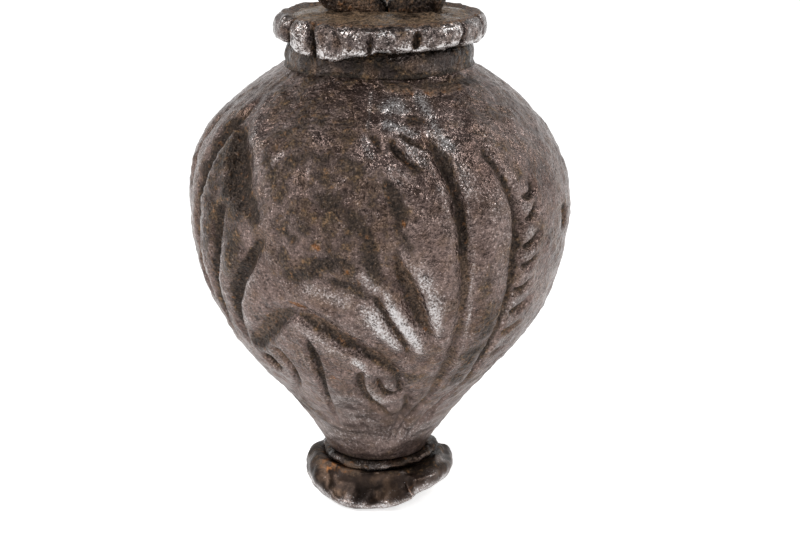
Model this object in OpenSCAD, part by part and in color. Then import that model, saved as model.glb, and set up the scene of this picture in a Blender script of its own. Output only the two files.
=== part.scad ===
// Steelyard weight: a cast iron urn, carved with leaves and filled with lead.
// It stands on a riveted foot and hangs from a forged eye by a loose ring.
// The origin is on the table under the foot. +Z is up and the urn's front faces -Y.

/* [Urn] */
// Radius of the urn at its widest line
belly_r = 37.1; // [34:0.1:41]
// Height of the widest line above the table
belly_z = 61.8; // [58:0.1:65]
// Radius of the shoulder at the neck ring
shoulder_r = 17.6; // [16.5:0.1:19]
// Height of the shoulder above the table
shoulder_z = 88.7; // [85:0.1:94]
// Radius of the tail on its ring
tail_r = 9.9; // [9:0.1:11]
// Thickness of the cast wall
wall = 5; // [4:0.1:6]
// Radius of the mouth that the lead was poured through
mouth_r = 10.8; // [10.4:0.1:11.5]
// Wall of the spigot round the mouth
spigot_wall = 2.6; // [2:0.1:3.2]
// Radius of the tenon that carries the foot
tenon_r = 6; // [5:0.1:7]
// Length of the tenon inside the foot
tenon_l = 5; // [4:0.1:5.6]

/* [Leaves] */
// Copies of the leaf pattern round the urn
leaf_copies = 2; // [1:1:2]
// Depth of the deepest leaf cuts
cut_depth = 1.8; // [0.8:0.1:2.2]
// Half width of the widest leaf cuts
cut_half = 1.9; // [1:0.1:2.2]

/* [Lead] */
// Room left all round as the lead shrank
shrink = 0.3; // [0.2:0.05:0.4]

/* [Rings and foot] */
// Radius of the neck ring's bulge
neck_ring_r = 17.8; // [17:0.1:19]
// Height of the neck ring
neck_ring_h = 4.6; // [4:0.1:5.4]
// Radius of the notched collar
collar_r = 20.1; // [19:0.1:22]
// Height of the notched collar
collar_h = 5; // [4.4:0.1:6]
// Rounding of the collar's edges
collar_round = 1.2; // [0.6:0.1:1.8]
// Depth of the dish in the collar's top
dish = 0.8; // [0.4:0.1:1.2]
// Width of the flat rim round the dish
rim_w = 1.6; // [1.3:0.1:2.2]
// Notches filed round the collar
notch_count = 15; // [10:1:18]
// Depth of each notch
notch_depth = 1.5; // [0.8:0.1:2]
// Radius of the tail ring
tail_ring_r = 12; // [11:0.1:13]
// Height of the tail ring
tail_ring_h = 2.4; // [2:0.1:3]
// Radius of the foot
foot_r = 15; // [13.5:0.1:17]
// Height of the foot
foot_h = 7.2; // [6.6:0.1:8]
// Room between the rings and the iron they are driven on
fit = 0.15; // [0.1:0.01:0.2]
// Room under the neck ring and over the tail ring, where they lie on the urn
seat = 0.05; // [0.02:0.01:0.1]

/* [Eye and ring] */
// Thickness of the bar that the eye is bent from
bar_d = 8; // [7:0.1:8.6]
// Radius of the eye's loop along the middle of its bar
loop_r = 9.2; // [8.8:0.1:10.5]
// Radius of the bends from the legs into the loop
bend_r = 5; // [4.6:0.1:7]
// Room between the two legs
leg_gap = 0.5; // [0.3:0.05:0.8]
// Length of the straight legs in the lead
leg_l = 22; // [16:0.5:28]
// Depth below the lead's top where the legs begin to part
root_depth = 1.2; // [0.5:0.1:2]
// How much thinner the bar is drawn where it bends
draw = 0.2; // [0.15:0.05:0.4]
// Radius of the splay at the legs' ends
splay_r = 8; // [6:0.5:10]
// Angle that the ends are splayed
splay_angle = 35; // [20:1:38]
// Room round the legs in the lead
leg_room = 0.1; // [0.05:0.01:0.15]
// Thickness of the ring
ring_d = 5.6; // [4.8:0.1:6]
// Radius of the ring along the middle of its bar
ring_r = 14.5; // [13.5:0.1:17]
// Play between the ring and the top of the eye's hole
ring_play = 0.3; // [0.2:0.05:0.5]

/* [Hidden] */
// Facets round the carved urn, and steps along each of its two side curves
urn_sides = 48;
side_steps = 10;
// Sides of the chisel, its blunt end as a share of its width, and stops between two points
cutter_sides = 4;
blunt = 0.25;
cut_stops = 2;
// Facets of the round pieces, which count as true circles
$fn = 96;
// A little more than a cut needs, so that it runs clear of the face
past = 0.5;
// Length of each bend that runs on inside the full bar
run_in = 0.5;
iron = [0.28, 0.25, 0.23];
old_iron = [0.36, 0.31, 0.27];
lead = [0.45, 0.44, 0.43];

// Heights that the pieces stack up to
tail_z = foot_h + tail_ring_h + seat;
neck_ring_z = shoulder_z + seat;
collar_z = neck_ring_z + neck_ring_h;
collar_top = collar_z + collar_h;
mouth_z = collar_top - dish;
spigot_r = mouth_r + spigot_wall;

// The urn's side is two curves that meet upright at the belly. Points are [radius, height].
// The handles are how far each curve keeps its first direction.
low_side = [[tail_r, tail_z], [tail_r + 9.5, tail_z + 18], [belly_r, belly_z - 25.7],
    [belly_r, belly_z]];
high_side = [[belly_r, belly_z], [belly_r, belly_z + 18.5], [shoulder_r + 3.5, shoulder_z - 3.1],
    [shoulder_r, shoulder_z]];

// Place and direction at t, from 0 to 1, of a curve with four handles
function along(p, t) = pow(1 - t, 3) * p[0] + 3 * pow(1 - t, 2) * t * p[1]
    + 3 * (1 - t) * t * t * p[2] + pow(t, 3) * p[3];
function heading(p, t) = pow(1 - t, 2) * (p[1] - p[0]) + 2 * (1 - t) * t * (p[2] - p[1])
    + t * t * (p[3] - p[2]);
// The same place, set back square to the curve by a depth
function set_back(p, t, depth) = let (d = heading(p, t))
    along(p, t) + depth / norm(d) * [-d[1], d[0]];

urn_side = concat([for (i = [0:side_steps - 1]) along(low_side, i / side_steps)],
    [for (i = [0:side_steps]) along(high_side, i / side_steps)]);
height_radius = [for (p = urn_side) [p[1], p[0]]];
function radius_at(z) = lookup(z, height_radius);
// Height of a mark on the urn's side, from its hundredths of the way up
function height_of(mark) = tail_z + (shoulder_z - tail_z) * mark[1] / 100;

// Half outline of the hollow at a depth inside the wall, from its floor up to a flat top
floor_step = 2;
function hollow(depth, mouth, top) = let (
        low = [for (i = [floor_step:side_steps - 1]) set_back(low_side, i / side_steps, depth)],
        high = [for (i = [0:side_steps - 1]) set_back(high_side, i / side_steps, depth)],
        roof_z = shoulder_z - 0.8 * depth)
    concat([[0, low[0][1]]], low, high, [[mouth, roof_z], [mouth, top], [0, top]]);

// Leaf cuts: share of the full half width, share of the full depth, and points of
// [degrees from the front, hundredths of the way up from tail to shoulder]
leaf_cuts = [
    [0.7, 0.75, [[34.5, 86], [39.5, 77], [41.8, 66], [42.5, 51], [41.5, 36], [40, 24]]],
    [0.85, 0.9, [[16.5, 89.5], [21.5, 80], [23.5, 68], [24.3, 50], [23.5, 34], [24.5, 24]]],
    [1, 0.85, [[3, 70], [5, 63], [9.5, 53.5], [13.5, 46], [18, 39]]],
    [0.5, 0.6, [[-2.5, 53], [3.5, 46.5], [8.5, 39.5], [11, 35]]],
    [0.95, 1, [[-48, 36.5], [-38, 44], [-25, 48.5], [-17, 44.5], [-9, 40.2], [-1, 37], [8, 36]]],
    [0.6, 0.7, [[-5.5, 33.5], [-9.3, 27], [-6, 21], [3, 17.5]]],
    [0.55, 0.6, [[-1.5, 29.5], [3, 25.3], [8.5, 27], [8, 30]]],
    [0.6, 0.7, [[-24, 42.5], [-22.5, 34], [-24.5, 25], [-27, 14]]],
    [0.8, 0.8, [[-50, 74], [-54, 66], [-57, 57], [-62.5, 47], [-64, 42]]],
    [0.75, 0.8, [[-36, 66], [-44, 56], [-52, 46], [-58, 34]]],
    [0.8, 0.8, [[-63, 91], [-67, 80], [-69.8, 66], [-68.5, 51]]],
    [0.95, 0.6, [[-56, 89], [-50, 84], [-44, 79], [-33, 71]]],
    [0.6, 0.6, [[-41, 36.5], [-36.5, 31], [-40, 25], [-52, 20]]],
    [0.8, 0.8, [[-49, 30], [-44, 31]]],
    [0.45, 0.5, [[7.5, 90], [13.5, 87]]],
    [0.5, 0.5, [[3, 86.5], [12.5, 82.5]]],
    [0.45, 0.5, [[4, 82], [10.5, 79.5]]],
    [0.95, 0.4, [[6, 79], [6, 74], [4, 67]]],
    [0.4, 0.45, [[45.5, 68.5], [51.5, 72.5]]],
    [0.4, 0.45, [[46, 62.5], [52, 65.5]]],
    [0.4, 0.45, [[45.5, 57.5], [51.5, 59.5]]],
    [0.35, 0.4, [[46.5, 50], [51.5, 51.5]]],
    [0.35, 0.4, [[49, 45], [54, 47.5]]],
    [0.35, 0.4, [[46, 39.5], [53, 40.5]]],
];

// Smooth place at step s along a list of points, through every point
function point(p, i) = p[min(max(i, 0), len(p) - 1)];
function smooth(p, s) = let (
        i = min(floor(s), len(p) - 2), t = s - i,
        a = point(p, i - 1), b = point(p, i), c = point(p, i + 1), d = point(p, i + 2))
    b + t * ((c - a) / 2 + t * ((2 * a - 5 * b + 4 * c - d) / 2 + t * (3 * b - a - 3 * c + d) / 2));

// Loop of the eye: half the angle that is left open for the legs, and heights
leg_x = (bar_d + leg_gap) / 2;
root_z = mouth_z - root_depth;
loop_rise = sqrt(pow(loop_r + bend_r, 2) - pow(leg_x + bend_r, 2));
open_angle = atan2(leg_x + bend_r, loop_rise);
loop_z = root_z + loop_rise;
leg_end_z = root_z - leg_l;
// The ring hangs the weight by the top of the eye's hole, and turns there
pivot_z = loop_z + loop_r - bar_d / 2 - ring_play - ring_d / 2;

// One chisel stop: a blunt point set square to the urn's side and turned along the cut
module chisel(mark, way, half, depth) {
    z = height_of(mark);
    slope = (radius_at(z + past) - radius_at(z - past)) / (2 * past);
    across = radius_at(z) * way[0] * PI / 180;
    up = (height_of(mark + way) - z) * sqrt(1 + slope * slope);
    rotate([0, 0, mark[0]])
        translate([0, -radius_at(z), z])
            rotate([atan2(1, -slope), 0, 0])
                rotate([0, 0, atan2(up, across)])
                    translate([0, 0, -depth])
                        cylinder(h = depth + past, r1 = blunt * half,
                            r2 = half * (1 + (1 - blunt) * past / depth), $fn = cutter_sides);
}

// A cut that swells from fine ends to its full width halfway along
module leaf_cut(half, depth, points) {
    stops = cut_stops * (len(points) - 1);
    marks = [for (i = [0:stops]) smooth(points, i / cut_stops)];
    ways = [for (i = [0:stops]) marks[min(i + 1, stops)] - marks[max(i - 1, 0)]];
    swell = [for (i = [0:stops]) 1 - 0.7 * pow(abs(2 * i / stops - 1), 2.5)];
    for (i = [0:stops - 1])
        hull()
            for (k = [i, i + 1])
                chisel(marks[k], ways[k], half * swell[k], depth * swell[k]);
}

module body_shell() {
    color(iron)
        difference() {
            rotate_extrude($fn = urn_sides)
                polygon(concat([[0, foot_h - tenon_l], [tenon_r, foot_h - tenon_l], [tenon_r, tail_z]],
                    urn_side,
                    [[spigot_r, shoulder_z], [spigot_r, mouth_z], [0, mouth_z]]));
            rotate_extrude($fn = urn_sides)
                polygon(hollow(wall, mouth_r, mouth_z + past));
            for (copy = [0:leaf_copies - 1])
                rotate([0, 0, copy * 360 / leaf_copies])
                    for (cut = leaf_cuts)
                        leaf_cut(cut[0] * cut_half, cut[1] * cut_depth, cut[2]);
        }
}

// The eye's bar, made thicker by extra to shape the room round it in the lead
module eye_bar(extra) {
    section_r = bar_d / 2 + extra;
    translate([0, 0, loop_z])
        arc_bar(loop_r, section_r, open_angle - 90, 360 - 2 * open_angle);
    for (side = [0, 1])
        mirror([side, 0, 0])
            eye_leg(section_r);
}

// One leg: the bend out of the loop, the straight run and the splayed end.
// The bar is drawn down a little where it bends, and the bends run into its full thickness.
module eye_leg(section_r) {
    bend_run = run_in / bend_r * 180 / PI;
    splay_run = run_in / splay_r * 180 / PI;
    translate([leg_x + bend_r, 0, root_z])
        arc_bar(bend_r, section_r - draw, 90 + open_angle - bend_run,
            90 - open_angle + 2 * bend_run);
    translate([leg_x, 0, leg_end_z])
        cylinder(h = leg_l, r = section_r);
    translate([leg_x + splay_r, 0, leg_end_z])
        arc_bar(splay_r, section_r - draw, 180 - splay_run, splay_angle + splay_run);
}

// A bar bent upright, facing the front, from one angle through a turn
module arc_bar(r, section_r, from, turn) {
    rotate([90, 0, 0])
        rotate([0, 0, from])
            rotate_extrude(angle = turn)
                translate([r, 0])
                    circle(section_r);
}

module lead_core() {
    color(lead)
        difference() {
            rotate_extrude()
                polygon(hollow(wall + shrink, mouth_r - shrink, mouth_z));
            eye_bar(leg_room);
        }
}

module neck_ring() {
    bulge_r = neck_ring_h / 2;
    color(iron)
        difference() {
            rotate_extrude()
                translate([0, neck_ring_z]) {
                    square([neck_ring_r - bulge_r, neck_ring_h]);
                    translate([neck_ring_r - bulge_r, bulge_r])
                        circle(bulge_r);
                }
            translate([0, 0, neck_ring_z - past])
                cylinder(h = neck_ring_h + 2 * past, r = spigot_r + fit);
        }
}

module neck_collar() {
    bore_r = spigot_r + fit;
    rim_r = collar_r - collar_round;
    color(old_iron)
        difference() {
            rotate_extrude() {
                translate([bore_r, collar_z])
                    square([rim_r - bore_r, collar_h]);
                translate([bore_r, collar_z + collar_round])
                    square([collar_r - bore_r, collar_h - 2 * collar_round]);
                for (z = [collar_round, collar_h - collar_round])
                    translate([rim_r, collar_z + z])
                        circle(collar_round);
            }
            translate([0, 0, mouth_z])
                cylinder(h = dish, r1 = bore_r, r2 = rim_r - rim_w);
            for (i = [0:notch_count - 1])
                rotate([0, 0, i * 360 / notch_count])
                    translate([0, -collar_r, collar_z + collar_h / 2])
                        rotate([0, 0, 45])
                            cube([notch_depth * sqrt(2), notch_depth * sqrt(2), 2 * collar_h],
                                center = true);
        }
}

module tail_ring() {
    bead_r = tail_ring_h / 2;
    color(old_iron)
        rotate_extrude() {
            translate([tenon_r + fit, foot_h])
                square([tail_ring_r - bead_r - tenon_r - fit, tail_ring_h]);
            translate([tail_ring_r - bead_r, foot_h + bead_r])
                circle(bead_r);
        }
}

module foot_knob() {
    bulge_r = foot_h / 2;
    color(iron)
        difference() {
            rotate_extrude() {
                square([foot_r - bulge_r, foot_h]);
                translate([foot_r - bulge_r, bulge_r])
                    circle(bulge_r);
            }
            translate([0, 0, foot_h - tenon_l - fit])
                cylinder(h = tenon_l + fit + past, r = tenon_r + fit);
        }
}

module suspension_eye() {
    color(old_iron)
        eye_bar(0);
}

module suspension_ring() {
    color(old_iron)
        translate([0, 0, pivot_z + ring_r])
            rotate([0, 90, 0])
                rotate_extrude()
                    translate([ring_r, 0])
                        circle(ring_d / 2);
}

body_shell();
lead_core();
neck_ring();
neck_collar();
tail_ring();
foot_knob();
suspension_eye();
suspension_ring();
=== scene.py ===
# %% [markdown]
# # A steelyard weight, modelled in Blender
# A steelyard is a hand scale with one long arm, and this is the weight that hung from it: an iron urn
# carved with leaves, filled with lead, with a notched collar, a foot, an eye and a loose ring.
# The CAD model fixes every size and joint. This script loads it and gives each piece its worn,
# hand-made surface. Shapes are worked out in millimetres with numpy and put into meshes in metres.

import bpy
import numpy as np
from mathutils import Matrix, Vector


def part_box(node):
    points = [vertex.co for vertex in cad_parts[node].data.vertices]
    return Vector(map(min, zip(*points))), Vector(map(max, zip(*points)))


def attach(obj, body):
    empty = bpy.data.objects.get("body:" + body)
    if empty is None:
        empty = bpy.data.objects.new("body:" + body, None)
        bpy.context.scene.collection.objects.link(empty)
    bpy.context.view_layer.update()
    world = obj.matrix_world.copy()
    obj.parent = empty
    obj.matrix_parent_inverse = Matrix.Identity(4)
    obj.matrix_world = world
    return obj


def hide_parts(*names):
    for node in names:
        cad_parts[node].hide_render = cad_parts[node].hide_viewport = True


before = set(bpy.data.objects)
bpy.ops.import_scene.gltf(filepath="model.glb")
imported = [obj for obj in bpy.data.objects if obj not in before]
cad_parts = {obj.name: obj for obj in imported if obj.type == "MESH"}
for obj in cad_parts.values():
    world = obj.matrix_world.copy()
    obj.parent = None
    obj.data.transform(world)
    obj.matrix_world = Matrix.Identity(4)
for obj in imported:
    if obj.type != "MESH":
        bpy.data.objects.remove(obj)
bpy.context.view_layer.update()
MM = 0.001
print("CAD pieces:", sorted(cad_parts))

# %% [markdown]
# ## Sizes
# The pieces are stacked on one upright axis, so the heights where they meet are read from the boxes of
# the CAD pieces. Only radii that no box shows, such as that of the bore, are written here.

# %% Read the heights and radii, in millimetres


def box_mm(node):
    """Lowest and highest corner of a CAD piece, as two arrays in millimetres."""
    low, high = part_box(node)
    return np.array(low) / MM, np.array(high) / MM


urn_low, urn_high = box_mm("body_shell")
neck_low, neck_high = box_mm("neck_ring")
collar_low, collar_high = box_mm("neck_collar")
bead_low, bead_high = box_mm("tail_ring")
foot_high = box_mm("foot_knob")[1]
eye_low, eye_high = box_mm("suspension_eye")
ring_low, ring_high = box_mm("suspension_ring")
SEAT = 0.05
BELLY_R, BELLY_Z = urn_high[0], 61.8
SHOULDER_R, SHOULDER_Z = 17.6, neck_low[2] - SEAT
TAIL_R, TAIL_Z = 9.9, bead_high[2] + SEAT
WALL, MOUTH_R, SPIGOT_R, TENON_R = 5.0, 10.8, 13.4, 6.0
FIT = 0.15
BORE_R = SPIGOT_R + FIT
MOUTH_Z = urn_high[2]
print("urn from", round(TAIL_Z, 2), "to", round(SHOULDER_Z, 2), "mm, radius", round(BELLY_R, 2))

# %% [markdown]
# ## Camera
# The urn fills the frame from just above, with the top of the eye out of view. The strong taper towards
# the foot tells that the lens was close, about three times the height of the weight away.

# %% Place the camera
CAMERA_PITCH = 17.0
CAMERA_PLACE = (4.0, -306.0, 140.8)
LENS, SENSOR_WIDTH = 72, 36
camera_data = bpy.data.cameras.new("camera")
camera_data.lens = LENS
camera_data.sensor_width = SENSOR_WIDTH
camera_data.sensor_fit = "HORIZONTAL"
camera_data.clip_start = 0.01
camera = bpy.data.objects.new("camera", camera_data)
bpy.context.scene.collection.objects.link(camera)
camera.location = [c * MM for c in CAMERA_PLACE]
camera.rotation_euler = (np.radians(90 - CAMERA_PITCH), 0, 0)
bpy.context.scene.camera = camera
print("camera at", tuple(camera.location))

# %% [markdown]
# ## Skin over a grid
# Each piece is a grid of points: one direction runs round the axis and closes on itself, the other
# follows a profile. A grid could be drawn by hand or spun from a curve, but worked out as an array it
# can be dented, notched and carved by plain sums before any mesh exists.

# %% A mesh from a grid


def skin(name, grid, closes="poles", **marks):
    """Mesh over a grid of rows by columns of points in millimetres.

    Columns wrap round. With closes="poles" the first and the last row each close on one middle point,
    and with closes="ring" the last row joins the first. Each named array of marks becomes a number at
    every vertex, which the material can read.
    """
    rows, columns = grid.shape[:2]
    points = grid.reshape(-1, 3)
    values = {key: mark.reshape(-1) for key, mark in marks.items()}
    here = np.arange(rows * columns).reshape(rows, columns)
    right = np.roll(here, -1, axis=1)
    faces = []
    if closes == "ring":
        above, above_right = np.roll(here, -1, axis=0), np.roll(right, -1, axis=0)
    else:
        above, above_right = here[1:], right[1:]
        south, north = len(points), len(points) + 1
        points = np.vstack([points, grid[0].mean(axis=0), grid[-1].mean(axis=0)])
        values = {key: np.append(v, [v[:columns].mean(), v[-columns:].mean()])
                  for key, v in values.items()}
        faces += np.column_stack([right[0], here[0], np.full(columns, south)]).tolist()
        faces += np.column_stack([here[-1], right[-1], np.full(columns, north)]).tolist()
        here, right = here[:-1], right[:-1]
    faces += np.stack([here, right, above_right, above], axis=-1).reshape(-1, 4).tolist()
    mesh = bpy.data.meshes.new(name)
    mesh.from_pydata((points * MM).tolist(), [], faces)
    mesh.polygons.foreach_set("use_smooth", np.ones(len(faces), bool))
    for key, value in values.items():
        mesh.attributes.new(key, "FLOAT", "POINT").data.foreach_set("value", value.astype(np.float32))
    mesh.update()
    piece = bpy.data.objects.new(name, mesh)
    bpy.context.scene.collection.objects.link(piece)
    print(name, "has", sum(len(f) - 2 for f in faces), "triangles")
    return piece


# %% [markdown]
# ## Tools for uneven shapes
# Nothing on this weight is quite round. Sums of sine waves in random directions make lumps of any size,
# a curve through a few marked points makes strokes, a bell curve makes a soft patch, and a repeated
# small average smooths a grid.

# %% Waves, curves and smoothing
SHORTEST_WAVE, LONGEST_WAVE = 0.7, 1.5


def waves(points, size, seed, count=28):
    """Uneven height at each point: the sum of sine waves in random directions, each about size
    millimetres long, scaled to a typical height of one."""
    draw = np.random.default_rng(seed)
    way = draw.normal(size=(count, 3))
    length = size * draw.uniform(SHORTEST_WAVE, LONGEST_WAVE, (count, 1))
    way /= np.linalg.norm(way, axis=1, keepdims=True) * length
    phase = draw.uniform(0, 2 * np.pi, count)
    return np.sin(2 * np.pi * points @ way.T + phase).sum(axis=-1) / np.sqrt(count / 2)


def rough(points, *layers):
    """Sum of waves: each layer is a height and a length in millimetres, a seed and, if need be, a count."""
    return sum(height * waves(points, *layer) for height, *layer in layers)


def bell(distance, width, power=2):
    """Bell curve: e to the power of minus (distance over width) to a power. It is 1 in the middle."""
    return np.exp(-np.abs(distance / width) ** power)


def through(points, steps=12):
    """Smooth curve through all points: each stretch is a cubic whose slope at a point is half the way
    between the points on both sides of it (a Catmull-Rom curve)."""
    p = np.array(points, float)
    before, after = np.vstack([p[:1], p[:-2]]), np.vstack([p[2:], p[-1:]])
    a, b, c, d = before, p[:-1], p[1:], after
    t = np.linspace(0, 1, steps, endpoint=False)[:, None, None]
    bend = (2 * a - 5 * b + 4 * c - d) / 2
    twist = (3 * b - a - 3 * c + d) / 2
    curve = b + t * ((c - a) / 2 + t * (bend + t * twist))
    return np.vstack([curve.transpose(1, 0, 2).reshape(-1, p.shape[1]), p[-1:]])


def soften(field, passes):
    """Averages each value with its neighbours, a quarter from each side, again and again. Columns wrap."""
    for _ in range(passes):
        field = (np.roll(field, 1, 1) + 2 * field + np.roll(field, -1, 1)) / 4
        padded = np.vstack([field[:1], field, field[-1:]])
        field = (padded[:-2] + 2 * padded[1:-1] + padded[2:]) / 4
    return field


def ramp(value, start, end):
    """Rises smoothly from 0 at start to 1 at end."""
    t = np.clip((value - start) / (end - start), 0, 1)
    return t * t * (3 - 2 * t)


def round_axis(angle, radius, height):
    """Points at an angle in degrees from the front, turning to the right, at a radius and a height."""
    turn = np.radians(angle)
    return np.stack([radius * np.sin(turn), -radius * np.cos(turn), height + 0 * turn], axis=-1)


LEAN_HEIGHTS = [0, 8, 15, 40, 62, 78, 88, 94, 100]
LEAN_SHIFTS = [-0.3, -0.5, -0.6, -0.2, 0.2, -0.6, 0, 0.4, 0.4]


def lopsided(points):
    """Shifts points sideways by their height, as the hand-made urn leans a little. Between the marked
    heights the shift changes evenly."""
    points = points.copy()
    points[..., 0] += np.interp(points[..., 2], LEAN_HEIGHTS, LEAN_SHIFTS)
    return points


print("the weight leans by up to", np.abs(LEAN_SHIFTS).max(), "mm")

# %% [markdown]
# ## Side of the urn
# The cast urn swells from a narrow tail to a wide belly and closes to the neck. Two cubic Bezier
# curves that meet upright at the belly give its side. Rows are spaced evenly along the curve, so that
# the carving is as fine near the tail as on the belly.

# %% Two curves from tail to shoulder


def bezier(p, t):
    """Cubic Bezier curve: four handles weighted by (1-t)^3, 3(1-t)^2 t, 3(1-t) t^2 and t^3."""
    t = t[:, None]
    p = np.array(p, float)
    s = 1 - t
    return s ** 3 * p[0] + 3 * s ** 2 * t * p[1] + 3 * s * t ** 2 * p[2] + t ** 3 * p[3]


belly = (BELLY_R, BELLY_Z)
low_side = [(TAIL_R, TAIL_Z), (TAIL_R + 9.5, TAIL_Z + 18), (BELLY_R, BELLY_Z - 25.7), belly]
high_side = [belly, (BELLY_R, BELLY_Z + 18.5), (SHOULDER_R + 3.5, SHOULDER_Z - 3.1),
             (SHOULDER_R, SHOULDER_Z)]
fine = np.linspace(0, 1, 400)
side = np.vstack([bezier(low_side, fine), bezier(high_side, fine[1:])])
side_arc = np.append(0, np.cumsum(np.linalg.norm(np.diff(side, axis=0), axis=1)))
SIDE_ROWS = 208
arc = np.linspace(0, side_arc[-1], SIDE_ROWS)
side_r = np.interp(arc, side_arc, side[:, 0])
side_z = np.interp(arc, side_arc, side[:, 1])
slope = np.stack([np.gradient(side_z, arc), -np.gradient(side_r, arc)], axis=-1)
slope /= np.linalg.norm(slope, axis=1, keepdims=True)
print("side of the urn is", round(side_arc[-1], 1), "mm long")

# %% [markdown]
# ## Leaf carving
# Leaves with long ribs, a scroll and rows of small nicks run over the urn, twice round it. They could
# be sculpted, or cut with other meshes. Here each stroke of the chisel is a curve on the unrolled side,
# marked in degrees from the front and hundredths of the way from tail to shoulder. The distance of
# every grid point from the curve gives the depth of the cut, so strokes stay easy to move.

# %% Grid of half the urn and the distance from a stroke
COLUMNS = 416
CROWDING = 0.3
MOTIF_MIDDLE = -8.0
spread = np.arange(COLUMNS) * 360.0 / COLUMNS - 90
angles = MOTIF_MIDDLE + spread - np.degrees(CROWDING / 2 * np.sin(np.radians(2 * spread)))
half_turn = angles[:COLUMNS // 2]


def near_stroke(points, reach):
    """Patch of the half grid within reach of a stroke: its rows, columns, the signed distance from the
    stroke in millimetres (positive to the left of its way), and how far along it, from 0 to 1."""
    curve = through(points)
    turn = curve[:, 0]
    climb = np.interp(TAIL_Z + (SHOULDER_Z - TAIL_Z) * curve[:, 1] / 100, side_z, arc)
    middle_r = np.interp(climb, arc, side_r)
    rows = np.flatnonzero((arc > climb.min() - reach) & (arc < climb.max() + reach))
    margin = np.degrees(reach / middle_r.min())
    columns = np.flatnonzero((half_turn > turn.min() - margin) & (half_turn < turn.max() + margin))
    across = np.radians(half_turn[columns][None, :, None] - turn) * side_r[rows][:, None, None]
    up = arc[rows][:, None, None] - climb
    way = np.stack([np.radians(np.gradient(turn)) * middle_r, np.gradient(climb)], axis=-1)
    way /= np.linalg.norm(way, axis=1, keepdims=True)
    closest = np.argmin(across ** 2 + up ** 2, axis=2)
    pick = np.take_along_axis
    across = pick(across, closest[..., None], 2)[..., 0]
    up = pick(up, closest[..., None], 2)[..., 0]
    along = way[closest][..., 0] * across + way[closest][..., 1] * up
    left = way[closest][..., 0] * up - way[closest][..., 1] * across
    at_end = (closest == 0) | (closest == len(curve) - 1)
    distance = np.where(at_end, np.where(left < 0, -1, 1) * np.hypot(along, left), left)
    return np.ix_(rows, columns), distance, closest / (len(curve) - 1)


def spaced(values, share):
    """Value at a share of the way along a list of evenly spaced values."""
    values = np.atleast_1d(values)
    return np.interp(share, np.linspace(0, 1, len(values)), values)


print("grid of", SIDE_ROWS, "by", COLUMNS, "points on the side")

# %% Cuts, ridges and painted marks
# Powers that shape the two walls of a cut, a scale for all depths, and the narrowest wall
STEEP_WALL, GENTLE_WALL, CUT_SCALE, MIN_WALL = 0.75, 1.6, 1.25, 0.3
# The lip above a steep wall: how high it stands, how much it is rubbed, its place and its width
LIP_HEIGHT, LIP_RUB, LIP_OUT, LIP_WIDE = 0.5, 0.7, 0.35, 0.5
# How far past a lip the soil is swept off, and how soon a growing lip sweeps it all
SWEPT_WIDE, SWEPT_SOON = 1.6, 6
# How wide a painted bell curve is, and how far it is worked out, in half widths
BELL_WIDE, BELL_REACH = 0.75, 2.2
carved, raised, rub_and_sheen, soiled_and_shaded, spotted, swept = np.zeros((6, SIDE_ROWS, COLUMNS // 2))


def keep_most(field, patch, value):
    """Raises a patch of a field to a value where it is lower."""
    field[patch] = np.maximum(field[patch], value)


def cut(points, half, depth, lean=0.0, lip=0.0):
    """Chisel cut: depth times a power of (1 - q^2), where q is the distance over the half width. A lean
    makes the left wall short and steep and the right one long and gentle, or the other way round if it
    is negative. A lip raises and rubs the edge above the steep wall. Past that edge, soil is swept off."""
    patch, distance, share = near_stroke(points, 2 * np.max(half) + 1.5)
    wall = spaced(half, share) * np.where(distance > 0, 1 - lean, 1 + lean)
    width = np.maximum(wall, MIN_WALL)
    steep = distance * lean > 0
    bow = np.where(steep, STEEP_WALL, GENTLE_WALL)
    deep_here = spaced(depth, share)
    q = np.clip(np.abs(distance) / width, 0, 1)
    keep_most(carved, patch, CUT_SCALE * deep_here * (1 - q ** 2) ** bow)
    past = np.abs(distance) - width
    firm = steep * np.clip(deep_here, 0, 1)
    edge = lip * firm * bell(past - LIP_OUT, LIP_WIDE)
    keep_most(raised, patch, LIP_HEIGHT * edge)
    keep_most(rub_and_sheen, patch, LIP_RUB * edge)
    keep_most(swept, patch, min(SWEPT_SOON * lip, 1) * firm * (past > 0) * bell(past, SWEPT_WIDE))


def paint(field, points, half, strength):
    """Marks a field along a stroke: its strength times a bell curve of the distance."""
    patch, distance, share = near_stroke(points, BELL_REACH * np.max(half) + 0.5)
    keep_most(field, patch, spaced(strength, share) * bell(distance, BELL_WIDE * spaced(half, share)))


def ridge(points, half, height, rub=0.0):
    """Raised rib: height times a bell curve of the distance, and a rub that later wears it bright."""
    paint(raised, points, half, height)
    paint(rub_and_sheen, points, half, rub)


print("six fields of", carved.size, "points each, for half the urn")

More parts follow.
